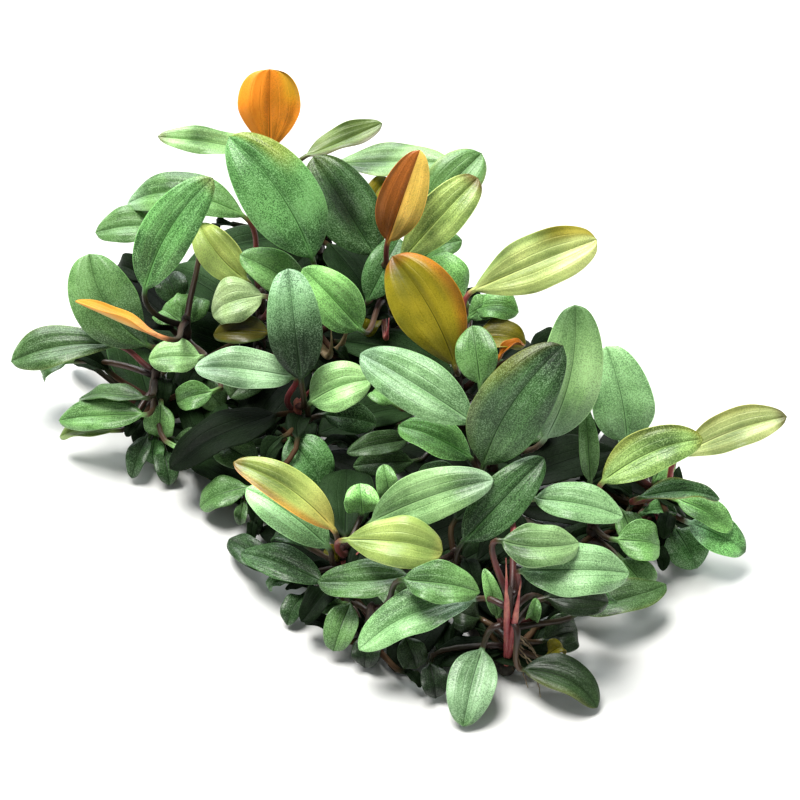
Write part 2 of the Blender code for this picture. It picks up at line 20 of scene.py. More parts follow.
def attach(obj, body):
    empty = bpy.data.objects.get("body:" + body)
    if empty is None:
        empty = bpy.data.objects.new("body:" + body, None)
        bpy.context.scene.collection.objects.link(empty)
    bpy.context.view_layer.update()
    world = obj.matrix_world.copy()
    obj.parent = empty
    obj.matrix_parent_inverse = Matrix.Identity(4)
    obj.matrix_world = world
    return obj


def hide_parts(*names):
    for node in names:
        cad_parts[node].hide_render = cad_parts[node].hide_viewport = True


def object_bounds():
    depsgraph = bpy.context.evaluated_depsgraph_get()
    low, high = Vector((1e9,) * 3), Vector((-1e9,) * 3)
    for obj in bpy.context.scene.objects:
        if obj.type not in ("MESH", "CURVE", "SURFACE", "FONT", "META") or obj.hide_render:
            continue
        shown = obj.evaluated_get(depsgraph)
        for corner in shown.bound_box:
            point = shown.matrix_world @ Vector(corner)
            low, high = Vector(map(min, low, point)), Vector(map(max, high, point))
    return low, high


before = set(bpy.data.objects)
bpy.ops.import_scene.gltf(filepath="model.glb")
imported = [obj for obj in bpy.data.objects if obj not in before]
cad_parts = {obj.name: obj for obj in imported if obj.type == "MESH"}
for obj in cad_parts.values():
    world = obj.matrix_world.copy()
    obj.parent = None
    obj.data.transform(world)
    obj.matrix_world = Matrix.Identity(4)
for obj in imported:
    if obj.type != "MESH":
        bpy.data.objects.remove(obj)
frame_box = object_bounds()
MM = 0.001
print("solids:", len(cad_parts), "box:", [round(v / MM, 1) for v in frame_box[1] - frame_box[0]])

# %% [markdown]
# ## The view
# The plant was measured from one picture, taken from the front and above. A place on it is written
# as the column and row where the picture shows it, and its height above the ground in millimetres.
# The ray through that column and row meets that height in one point. Writing places like this keeps
# the table of leaves readable, because a leaf can be found in the picture by its own numbers.

# %% Places in the picture
VIEW_ELEVATION = math.radians(42.0)
VIEW_DISTANCE = 1100.0
VIEW_WIDTH = 256.0
VIEW_PIXELS = 800.0
VIEW_AIM = np.array((3.9, 39.0, 0.0))
SENSOR_WIDTH = 36.0
SIDEWAYS = np.array((1.0, 0.0, 0.0))
UPWARD = np.array((0.0, 0.0, 1.0))
LEVEL = np.array((1.0, 1.0, 0.0))
LOOKING = np.array((0.0, math.cos(VIEW_ELEVATION), -math.sin(VIEW_ELEVATION)))
PICTURE_UP = np.array((0.0, math.sin(VIEW_ELEVATION), math.cos(VIEW_ELEVATION)))


def in_plan(column, row, height):
    """The point, in mm, at this height that the picture shows at this column and row."""
    slope = VIEW_WIDTH / VIEW_DISTANCE / VIEW_PIXELS
    right, up = (column - VIEW_PIXELS / 2) * slope, (VIEW_PIXELS / 2 - row) * slope
    ray = LOOKING + SIDEWAYS * right + PICTURE_UP * up
    eye = -LOOKING * VIEW_DISTANCE
    return eye + ray * ((height - eye[2]) / ray[2]) + VIEW_AIM


def unit(vectors):
    return vectors / np.linalg.norm(vectors, axis=-1, keepdims=True)


def bezier(points, t):
    """Places and directions along a cubic curve at the shares t."""
    a, b, c, d = points
    t = np.asarray(t, float)[:, None]
    places = (1 - t) ** 3 * a + 3 * (1 - t) ** 2 * t * b + 3 * (1 - t) * t ** 2 * c + t ** 3 * d
    along = (1 - t) ** 2 * (b - a) + 2 * (1 - t) * t * (c - b) + t ** 2 * (d - c)
    return places, unit(along)


def heading(bearing):
    """The level direction of a compass bearing in radians, from the back and to the right."""
    return np.array((math.sin(bearing), math.cos(bearing), 0.0))


def ease(values, low, high):
    """0 below low, 1 above high, and an even curve between them."""
    share = np.clip((np.asarray(values, float) - low) / (high - low), 0.0, 1.0)
    return share * share * (3 - 2 * share)


print("picture centre lies at", np.round(in_plan(400, 400, 0.0), 1), "mm")

# %% [markdown]
# ## The camera and the light
# The picture has a long lens, which keeps the back of the clump as large as the front. Its light is
# soft and comes from above, so the blades on top shine and the inside of the clump is nearly black. A
# second light behind the plant gives level blades their pale sheen, and a weak one in front keeps the
# shade readable. All four are sun lamps with a wide angle: their light is soft, yet it reaches the
# whole floor evenly, which that of a lamp near by would not. A faint sky lifts what is left.

# %% Camera and lights
lens = bpy.data.cameras.new("camera")
lens.sensor_width = SENSOR_WIDTH
lens.lens = SENSOR_WIDTH * VIEW_DISTANCE / VIEW_WIDTH
camera = bpy.data.objects.new("camera", lens)
camera.location = (VIEW_AIM - LOOKING * VIEW_DISTANCE) * MM
camera.rotation_euler = Vector(LOOKING).to_track_quat("-Z", "Y").to_euler()
bpy.context.scene.collection.objects.link(camera)
bpy.context.scene.camera = camera
bpy.context.scene.view_settings.view_transform = "Standard"


def add_sun(name, direction, strength, angle, colour):
    """A distant light from this direction, as wide as a softbox that fills this angle."""
    lamp = bpy.data.lights.new(name, "SUN")
    lamp.energy = strength
    lamp.angle = math.radians(angle)
    lamp.color = colour
    holder = bpy.data.objects.new(name, lamp)
    holder.location = direction
    holder.rotation_euler = (-Vector(direction)).to_track_quat("-Z", "Y").to_euler()
    bpy.context.scene.collection.objects.link(holder)


add_sun("top_light", (-0.22, 0.10, 0.97), 4.7, 30.0, (1.0, 0.99, 0.95))
add_sun("wide_light", (-0.10, 0.05, 0.99), 0.5, 110.0, (0.94, 1.0, 1.0))
add_sun("back_light", (-0.25, 0.72, 0.65), 2.4, 36.0, (0.93, 1.0, 1.0))
add_sun("front_light", (0.45, -0.70, 0.60), 0.12, 60.0, (0.95, 0.98, 1.0))

SKY_STRENGTH = 0.05
world = bpy.data.worlds.new("studio")
bpy.context.scene.world = world
world.use_nodes = True
sky = world.node_tree.nodes["Background"]
sky.inputs["Color"].default_value = (1.0, 1.0, 1.0, 1.0)
ray_kind = world.node_tree.nodes.new("ShaderNodeLightPath")
seen = world.node_tree.nodes.new("ShaderNodeMapRange")
seen.inputs["To Min"].default_value = SKY_STRENGTH
seen.inputs["To Max"].default_value = 1.0
world.node_tree.links.new(ray_kind.outputs["Is Camera Ray"], seen.inputs["Value"])
world.node_tree.links.new(seen.outputs[0], sky.inputs["Strength"])

print("lights:", [lamp.name for lamp in bpy.data.lights], "lens:", round(lens.lens), "mm")

# %% [markdown]
# The plant stands on a plain matt floor, a little below its own cut faces, so that the two never
# share a plane. The floor is only a stage for the picture and isn't part of the plant.

# %% Floor
FLOOR_HALF = 3000.0
FLOOR_DEPTH = 0.1
FLOOR_COLOUR = (0.75, 0.75, 0.745, 1.0)
FLOOR_ROUGHNESS = 0.9
corners = [(x * FLOOR_HALF * MM, y * FLOOR_HALF * MM, 0.0) for x, y in ((-1, -1), (1, -1), (1, 1), (-1, 1))]
floor_mesh = bpy.data.meshes.new("floor")
floor_mesh.from_pydata(corners, [], [(0, 1, 2, 3)])
floor = bpy.data.objects.new("floor", floor_mesh)
floor.location.z = -FLOOR_DEPTH * MM
bpy.context.scene.collection.objects.link(floor)
floor_paint = bpy.data.materials.new("floor")
floor_paint.use_nodes = True
floor_paint.node_tree.nodes["Principled BSDF"].inputs["Base Color"].default_value = FLOOR_COLOUR
floor_paint.node_tree.nodes["Principled BSDF"].inputs["Roughness"].default_value = FLOOR_ROUGHNESS
floor_mesh.materials.append(floor_paint)
print("floor:", 2 * FLOOR_HALF * MM, "m wide")

# %% [markdown]
# ## Crowns and rhizomes
# A crown is the place where a stem's leaves part. Its foot is on the ground and its top has a height.
# Each rhizome runs through the feet of its crowns and ends beside the rhizome it branched from.

# %% Crowns
Crown = namedtuple("Crown", "foot top")
CROWNS = {
    "west": Crown(foot=(152, 430), top=(157, 370, 24)),
    "north_west": Crown(foot=(190, 385), top=(186, 318, 30)),
    "inner_west": Crown(foot=(258, 372), top=(262, 292, 34)),
    "north": Crown(foot=(318, 288), top=(318, 205, 36)),
    "mid_north": Crown(foot=(318, 365), top=(312, 278, 38)),
    "north_east": Crown(foot=(385, 352), top=(382, 258, 40)),
    "east_centre": Crown(foot=(458, 440), top=(458, 352, 38)),
    "south_west": Crown(foot=(298, 455), top=(297, 402, 22)),
    "far_west": Crown(foot=(268, 520), top=(262, 480, 16)),
    "centre": Crown(foot=(492, 520), top=(492, 435, 36)),
    "inner_east": Crown(foot=(592, 560), top=(592, 500, 26)),
    "east": Crown(foot=(655, 525), top=(655, 482, 20)),
    "middle": Crown(foot=(455, 598), top=(455, 552, 22)),
    "front": Crown(foot=(506, 672), top=(510, 590, 36)),
    "front_west": Crown(foot=(345, 590), top=(345, 545, 20)),
    "front_low": Crown(foot=(372, 650), top=(372, 606, 18)),
}
RHIZOMES = {
    "rhizome_west": (("west", "north_west"), "inner_west"),
    "rhizome_south_west": (("far_west", "south_west"), "inner_west"),
    "rhizome_north": (("north",), "mid_north"),
    "rhizome_mid_north": (("inner_west", "mid_north"), "north_east"),
    "rhizome_north_east": (("north_east",), "east_centre"),
    "rhizome_east_centre": (("east_centre",), "centre"),
    "rhizome_centre": (("centre", "middle"), None),
    "rhizome_east": (("east", "inner_east"), "centre"),
    "rhizome_front": (("front",), "middle"),
    "rhizome_front_west": (("front_low", "front_west"), "middle"),
}


def stem_axis(crown):
    return in_plan(*CROWNS[crown].foot, 0.0), in_plan(*CROWNS[crown].top)


print("crowns:", len(CROWNS), "rhizomes:", len(RHIZOMES))

# %% [markdown]
# ## The leaves, one line each
# A leaf is a blade from base to tip on a stalk. Width, arch and the other sizes are in millimetres
# and lean is in degrees. The leaves are listed under their crown, in the order in which they grow up
# its stem. The small ones share a solid with their stem.

# %% Table of leaves
Leaf = namedtuple("Leaf", "name crown base tip width arch bend lean cup wide tint fused share")


def leaf(name, base, tip, width, arch=2.5, bend=0.0, lean=35.0, cup=1.2, wide=0.46,
         tint="green", fused=False, share=None, crown=None):
    """A leaf's blade from base to tip (column, row, height); share is its place up the stem, if set."""
    return Leaf(name, crown, base, tip, width, arch, bend, lean, cup, wide, tint, fused, share)


def small(name, base, tip, width, **more):
    """A leaf that shares a solid with its stem."""
    return leaf(name, base, tip, width, fused=True, **more)


MEASURED = {
    "west": (
        small("shade_west", (175, 440, 8), (205, 452, 6), 10),
        small("west_low", (148, 437, 10), (131, 479, 3), 7, lean=10, tint="dark"),
        small("west_shaded", (164, 452, 7), (170, 486, 2), 8, lean=10, tint="dark"),
        small("west_side", (174, 446, 14), (198, 463, 9), 7, lean=20),
        small("west_inner", (161, 405, 18), (160, 442, 8), 10, lean=20),
        small("west_rolled", (112, 431, 12), (58, 436, 8), 8, lean=10, tint="lime"),
        leaf("west_front", (143, 415, 22), (58, 420, 15), 12, arch=1.5, lean=15),
        small("west_grey", (143, 398, 26), (77, 393, 21), 9, arch=1, lean=0),
        small("west_under", (66, 362, 17), (38, 380, 11), 8, lean=10),
        leaf("west_outer", (118, 346, 29), (10, 361, 23), 15, bend=1.5, lean=15, wide=0.6),
    ),
    "north_west": (
        small("shade_north_west", (184, 322, 22), (200, 292, 26), 12),
        small("shade_north_west_front", (200, 385, 10), (224, 408, 7), 11),
        small("north_west_small", (212, 392, 22), (174, 403, 18), 9),
        small("north_west_low", (180, 322, 25), (160, 309, 24), 10),
        small("north_west_dark", (178, 303, 25), (166, 272, 30), 11, tint="dark"),
        leaf("north_west_pale", (200, 357, 27), (148, 358, 28), 12.5, 1, lean=20, cup=0.6, tint="pale"),
        leaf("north_west_broad", (147, 345, 30), (89, 253, 54), 21, bend=-4, lean=45, wide=0.52),
        leaf("north_west_back", (185, 230, 46), (94, 231, 46), 14, lean=3, wide=0.58),
        leaf("north_west_upright", (145, 289, 44), (213, 178, 76), 17, bend=-3, lean=48, tint="dark"),
        leaf("north_west_orange", (159, 336, 46), (76, 300, 60), 10, 0, lean=-22, tint="orange"),
    ),
    "inner_west": (
        small("shade_inner_west_front", (256, 372, 12), (230, 398, 12), 12),
        small("shade_inner_west_back", (258, 300, 24), (240, 258, 28), 11),
        small("inner_west_olive", (268, 333, 34), (212, 334, 33), 11, lean=20, tint="olive"),
        leaf("inner_west_curled", (262, 296, 42), (207, 315, 36), 16, 4, lean=25, tint="pale"),
        leaf("inner_west_lime", (246, 280, 42), (199, 222, 54), 13, bend=-2, tint="lime"),
        leaf("inner_west_arched", (243, 216, 54), (125, 203, 50), 16, arch=8, lean=10),
    ),
    "north": (
        leaf("north_pale", (266, 152, 53), (158, 135, 60), 11, arch=0.5, lean=0, tint="pale"),
        leaf("north_back", (336, 164, 50), (450, 162, 58), 15, arch=1, lean=0, tint="pale"),
        leaf("north_folded", (306, 156, 60), (382, 123, 68), 10, arch=0, lean=-10, tint="lime"),
        leaf("north_orange", (270, 152, 60), (270, 69, 84), 21, arch=1, lean=48, wide=0.6, tint="orange"),
    ),
    "mid_north": (
        small("mid_north_grey", (305, 292, 38), (240, 254, 53), 14, lean=30),
        leaf("mid_north_large", (312, 257, 54), (228, 135, 86), 25, 4, bend=3, lean=48, tint="dark"),
    ),
    "north_east": (
        small("shade_north_east", (398, 305, 20), (436, 290, 24), 13),
        small("shade_north_east_back", (385, 290, 24), (404, 252, 24), 12),
        small("north_east_low", (375, 318, 17), (366, 338, 15), 6, tint="olive"),
        leaf("north_east_hidden", (360, 329, 32), (303, 268, 53), 16, lean=40),
        small("north_east_small", (366, 210, 44), (388, 176, 50), 7, tint="olive"),
        leaf("north_east_side", (418, 222, 44), (482, 152, 62), 17, wide=0.6),
        leaf("north_east_dark", (374, 254, 40), (313, 156, 62), 21, lean=40, tint="dark"),
        leaf("north_east_pale", (400, 262, 42), (478, 177, 66), 15, lean=42, wide=0.55, tint="pale"),
        leaf("north_east_copper", (388, 241, 52), (420, 150, 80), 15, lean=45, tint="copper"),
    ),
    "east_centre": (
        small("east_centre_curl", (408, 440, 14), (346, 452, 16), 8),
        small("east_centre_dark", (412, 462, 8), (352, 466, 8), 9),
        small("shade_east_centre_right", (480, 395, 14), (520, 370, 18), 13),
        small("east_centre_blue", (463, 296, 36), (427, 256, 46), 14),
        small("east_centre_low", (475, 337, 37), (527, 344, 36), 11, lean=10, tint="olive"),
        small("east_centre_back", (477, 310, 40), (520, 311, 42), 12, lean=10),
        leaf("east_centre_olive", (455, 366, 44), (392, 256, 70), 22, bend=2, lean=48, wide=0.54,
             tint="olive"),
        leaf("east_centre_lime", (474, 290, 50), (597, 239, 66), 18, lean=40, wide=0.54, tint="lime"),
    ),
    "south_west": (
        leaf("south_west_round", (290, 438, 18), (325, 487, 8), 15.5, lean=25, tint="dark"),
        small("south_west_low", (325, 415, 16), (378, 424, 12), 10, tint="dark"),
        leaf("south_west_right", (311, 402, 25), (372, 379, 32), 16, bend=-1, tint="pale"),
        leaf("south_west_left", (293, 377, 32), (194, 366, 38), 14, lean=25, tint="pale"),
        leaf("south_west_dark", (301, 379, 34), (288, 268, 62), 17, lean=48, tint="dark"),
    ),
    "far_west": (
        small("shade_far_west_back", (258, 465, 12), (212, 440, 12), 12),
        small("far_west_low", (247, 488, 11), (198, 507, 5), 11, lean=15),
        small("far_west_small", (243, 503, 8), (240, 527, 3), 4),
    ),
    "centre": (
        small("shade_centre_left", (462, 485, 14), (415, 482, 12), 13),
        small("shade_centre_back", (512, 440, 16), (545, 410, 20), 14),
        leaf("centre_front", (470, 458, 26), (397, 423, 31), 13, lean=15),
        leaf("centre_left", (472, 422, 43), (359, 352, 48), 18, lean=35, arch=4),
        small("centre_grey", (480, 383, 44), (472, 325, 56), 13, lean=40),
        leaf("centre_frosted", (546, 437, 48), (575, 305, 86), 19, bend=3, lean=46, tint="pale"),
        leaf("centre_large", (484, 464, 48), (563, 346, 86), 23, 4, bend=-3, lean=46, tint="dark"),
    ),
    "middle": (
        leaf("middle_right", (464, 541, 32), (544, 457, 53), 14.5, lean=40, tint="dark"),
        leaf("middle_left", (408, 576, 27), (317, 581, 21), 13, arch=0.5, bend=-1, lean=10),
    ),
    "inner_east": (
        small("inner_east_low", (622, 560, 16), (650, 594, 7), 11),
        small("inner_east_small", (618, 540, 22), (662, 545, 18), 13),
        small("inner_east_twisted", (590, 481, 32), (585, 405, 56), 6),
        leaf("inner_east_long", (603, 482, 38), (704, 438, 48), 14, bend=-2, lean=30),
    ),
    "east": (
        small("shade_east_back", (645, 465, 12), (632, 425, 16), 13),
        small("east_dark", (676, 530, 9), (698, 569, 3), 14, tint="dark"),
        leaf("east_low", (690, 523, 16), (747, 552, 9), 12, lean=28, tint="dark"),
        small("east_curved", (678, 500, 22), (733, 530, 17), 9, lean=20),
        leaf("east_level", (640, 498, 30), (721, 498, 28), 8, arch=3.5, lean=5, tint="dark"),
        leaf("east_frosted", (627, 440, 34), (606, 346, 60), 19, bend=1, lean=42, wide=0.38),
        leaf("east_lime", (680, 456, 36), (787, 416, 50), 12.5, bend=-1, lean=30, wide=0.54, tint="lime"),
    ),
    "front": (
        small("shade_front_right", (545, 640, 8), (580, 630, 8), 12),
        small("shade_front_left", (478, 618, 13), (450, 612, 14), 12),
        small("front_under", (548, 598, 24), (610, 602, 22), 11),
        small("front_shaded", (430, 664, 9), (436, 700, 2), 8, lean=10, tint="dark", share=0.33),
        leaf("front_tip", (482, 650, 13), (463, 727, 3), 14.5, bend=0.5, lean=30),
        leaf("front_low", (524, 670, 9), (599, 707, 3), 13, bend=-2.5, lean=15),
        leaf("front_east", (572, 606, 10), (667, 583, 12), 12, bend=3, lean=12),
        leaf("front_long", (474, 599, 26), (357, 648, 18), 15, arch=2, bend=2.5, lean=15),
        leaf("front_right", (521, 571, 41), (631, 572, 38), 17, lean=30, share=0.92),
        leaf("front_pale", (502, 541, 50), (580, 541, 48), 14, arch=1, bend=2, lean=25, tint="pale"),
        leaf("front_back", (535, 499, 42), (625, 515, 41), 13, lean=20, share=0.8),
    ),
    "front_west": (
        small("front_west_back", (303, 596, 6), (286, 626, 2), 7, lean=5, tint="dark"),
        small("shade_front_west", (380, 580, 10), (410, 600, 10), 12),
        small("front_west_dark", (275, 572, 6), (228, 538, 5), 9, tint="dark"),
        leaf("front_west_low", (322, 582, 12), (240, 552, 12), 12, lean=15, tint="dark"),
        leaf("front_west_long", (328, 547, 22), (245, 487, 28), 14, bend=1, lean=30),
        leaf("front_west_right", (372, 522, 32), (493, 479, 51), 16, bend=-1, tint="pale"),
        small("front_west_inner", (362, 512, 22), (360, 482, 32), 11),
        small("front_west_slim", (390, 500, 20), (383, 463, 32), 7),
        leaf("front_west_lime", (345, 540, 34), (444, 548, 38), 17, lean=25, wide=0.58, tint="lime"),
        leaf("front_west_pale", (333, 529, 32), (233, 462, 46), 12, bend=2.5, tint="lime"),
    ),
    "front_low": (
        small("front_low_olive", (344, 604, 8), (313, 610, 5), 5),
        small("front_low_side", (405, 638, 12), (418, 670, 4), 9),
        small("front_low_under", (372, 638, 8), (364, 669, 2), 9, lean=5, tint="dark"),
        small("front_low_small", (350, 605, 13), (333, 652, 5), 10, lean=20),
        leaf("front_low_right", (404, 580, 33), (483, 591, 32), 13, lean=29),
    ),
}
MEASURED_LEAVES = [row._replace(name="leaf_" + row.name, crown=crown)
                   for crown, rows in MEASURED.items() for row in rows]
print("measured leaves:", len(MEASURED_LEAVES), "small:", sum(row.fused for row in MEASURED_LEAVES))

# %% [markdown]
# Deep in the shade of these, each stem carries a few leaves that the picture only shows in gaps,
# painted near black as shade.
# They are level and alike, so a line gives no more than their direction in degrees from the back, the
# height of the blade's base and the blade's length. The rule below turns such a line into a leaf.

# %% Leaves of the shade whorls
SHADE_WHORLS = {
    "west": ((345, 8, 38),),
    "north_west": ((165, 5, 32), (315, 20, 38)),
    "inner_west": ((300, 5, 38), (315, 20, 38)),
    "north": ((255, 24, 38), (150, 24, 29)),
    "mid_north": ((105, 12, 38), (210, 8, 38)),
    "north_east": ((75, 5, 38), (285, 5, 35)),
    "east_centre": ((30, 12, 38), (90, 8, 38)),
    "south_west": ((60, 5, 35), (240, 20, 38), (135, 5, 38)),
    "far_west": ((315, 5, 26),),
    "centre": ((60, 12, 38), (240, 4, 38), (90, 5, 38), (315, 5, 38)),
    "inner_east": ((210, 13, 32),),
    "east": ((345, 5, 38),),
    "middle": ((210, 5, 29), (130, 8, 24)),
    "front": ((0, 5, 38),),
    "front_west": ((0, 16, 35), (315, 5, 29)),
}
SHADE_STALK = 7.5
SHADE_STALK_RISE = 3.0
SHADE_LOWEST_SHARE = 0.12
SHADE_HIGHEST_SHARE = 0.92
SHADE_DROP = 3.0
SHADE_LEAST_HEIGHT = 1.5
SHADE_SLENDERNESS = 0.5


def shade_leaf(name, crown, compass, height, length):
    """A leaf low on its stem, painted near black as shade, that points outward, its tip a little below its
    base.
    """
    foot, top = stem_axis(crown)
    share = min(max((height - SHADE_STALK_RISE) / top[2], SHADE_LOWEST_SHARE), SHADE_HIGHEST_SHARE)
    outward = heading(math.radians(compass))
    base = (foot + (top - foot) * share + outward * SHADE_STALK) * LEVEL + UPWARD * height
    tip = base + outward * length - UPWARD * min(SHADE_DROP, height - SHADE_LEAST_HEIGHT)
    return small(name, base, tip, length * SHADE_SLENDERNESS, crown=crown, lean=0, tint="deep", share=share)


LEAVES = list(MEASURED_LEAVES)
for crown, whorl in SHADE_WHORLS.items():
    for index, (compass, height, length) in enumerate(whorl):
        LEAVES.append(shade_leaf(f"leaf_shade_{crown}_whorl_{index}", crown, compass, height, length))
print("leaves in the solids:", len(LEAVES))

# %% [markdown]
# Between these leaves the picture shows smaller ones that have no solid of their own: slivers seen
# past an edge, shoots low on a stem, and narrow young blades. They are placed in the same way, each
# on the stem of its crown at the share of the stem's height that is given.

# %% Small leaves between the others
BETWEEN = [
    small("blade_a", (470, 318, 38), (500, 306, 40), 9, lean=15, share=0.85, crown="east_centre"),
    small("blade_b", (499, 357, 36), (526, 343, 38), 3, lean=0, share=0.7, tint="orange",
          crown="east_centre"),
    small("blade_c", (394, 404, 16), (370, 388, 18), 9, lean=25, share=0.4, crown="east_centre"),
    small("blade_d", (155, 440, 8), (152, 468, 3), 8, lean=10, share=0.3, tint="dark", crown="west"),
    small("blade_e", (305, 545, 14), (267, 536, 12), 6, lean=10, share=0.5, tint="dark",
          crown="front_west"),
    small("blade_f", (290, 582, 6), (267, 590, 4), 5, lean=5, share=0.3, tint="dark", crown="front_west"),
    small("blade_g", (622, 512, 24), (634, 546, 16), 9, lean=20, share=0.7, crown="inner_east"),
    small("blade_h", (642, 514, 15), (679, 513, 16), 5, lean=10, share=0.5, tint="dark", crown="east"),
    small("blade_i", (655, 480, 24), (668, 449, 30), 9, lean=35, share=0.8, crown="east"),
    small("blade_j", (498, 616, 20), (484, 568, 34), 5, lean=30, share=0.5, crown="front"),
    small("blade_k", (533, 618, 18), (538, 597, 26), 4, lean=30, share=0.5, crown="front"),
    small("blade_l", (580, 612, 16), (620, 600, 18), 4, lean=10, share=0.5, tint="dark", crown="front"),
    small("blade_m", (368, 300, 30), (400, 236, 44), 12, lean=45, share=0.7, tint="dark",
          crown="north_east"),
    small("blade_n", (420, 262, 34), (462, 238, 44), 12, lean=20, share=0.8, crown="north_east"),
    small("blade_o", (377, 252, 34), (376, 201, 46), 6, lean=45, share=0.8, crown="north_east"),
    small("blade_p", (548, 656, 8), (570, 648, 10), 5, lean=10, share=0.3, tint="olive", crown="front"),
    small("blade_q", (338, 560, 14), (322, 548, 18), 4, lean=20, share=0.6, tint="olive",
          crown="front_west"),
]
print("small leaves between:", len(BETWEEN))

# %% [markdown]
# ## How one blade differs from the next
# No two blades are alike. Some droop at the tip, some roll a margin up or down, most ripple a little
# and a few are stained brown, orange or gold in one part. Left and right are as seen from the upper
# face with the tip up. A mark is a place on the blade, a colour, and how strongly it shows.

# %% Shapes and marks of single leaves
Shape = namedtuple("Shape", "droop twist roll_left roll_right wave ripples tip marks light")


def shape(droop=0.8, twist=0.0, roll_left=-0.5, roll_right=-0.5, wave=0.5, ripples=1.8, tip="plain",
          marks="", light=1.0):
    """How a blade departs from the plain one: droop and wave in mm, twist in degrees, rolls in radians.

    marks lists places, colours and strengths, such as "far tip brown 0.7, rim lime 0.3". light says how
    much lighter or darker the blade is than others of its colour. This is partly its own tone and partly
    painted light and shade: it lifts blades that the lamps leave in shade and darkens those in the clump.
    """
    stains = [mark.rsplit(" ", 2) for mark in marks.split(", ") if mark]
    stains = [(where, colour, float(strength)) for where, colour, strength in stains]
    return Shape(droop, twist, roll_left, roll_right, wave, ripples, tip, stains, light)
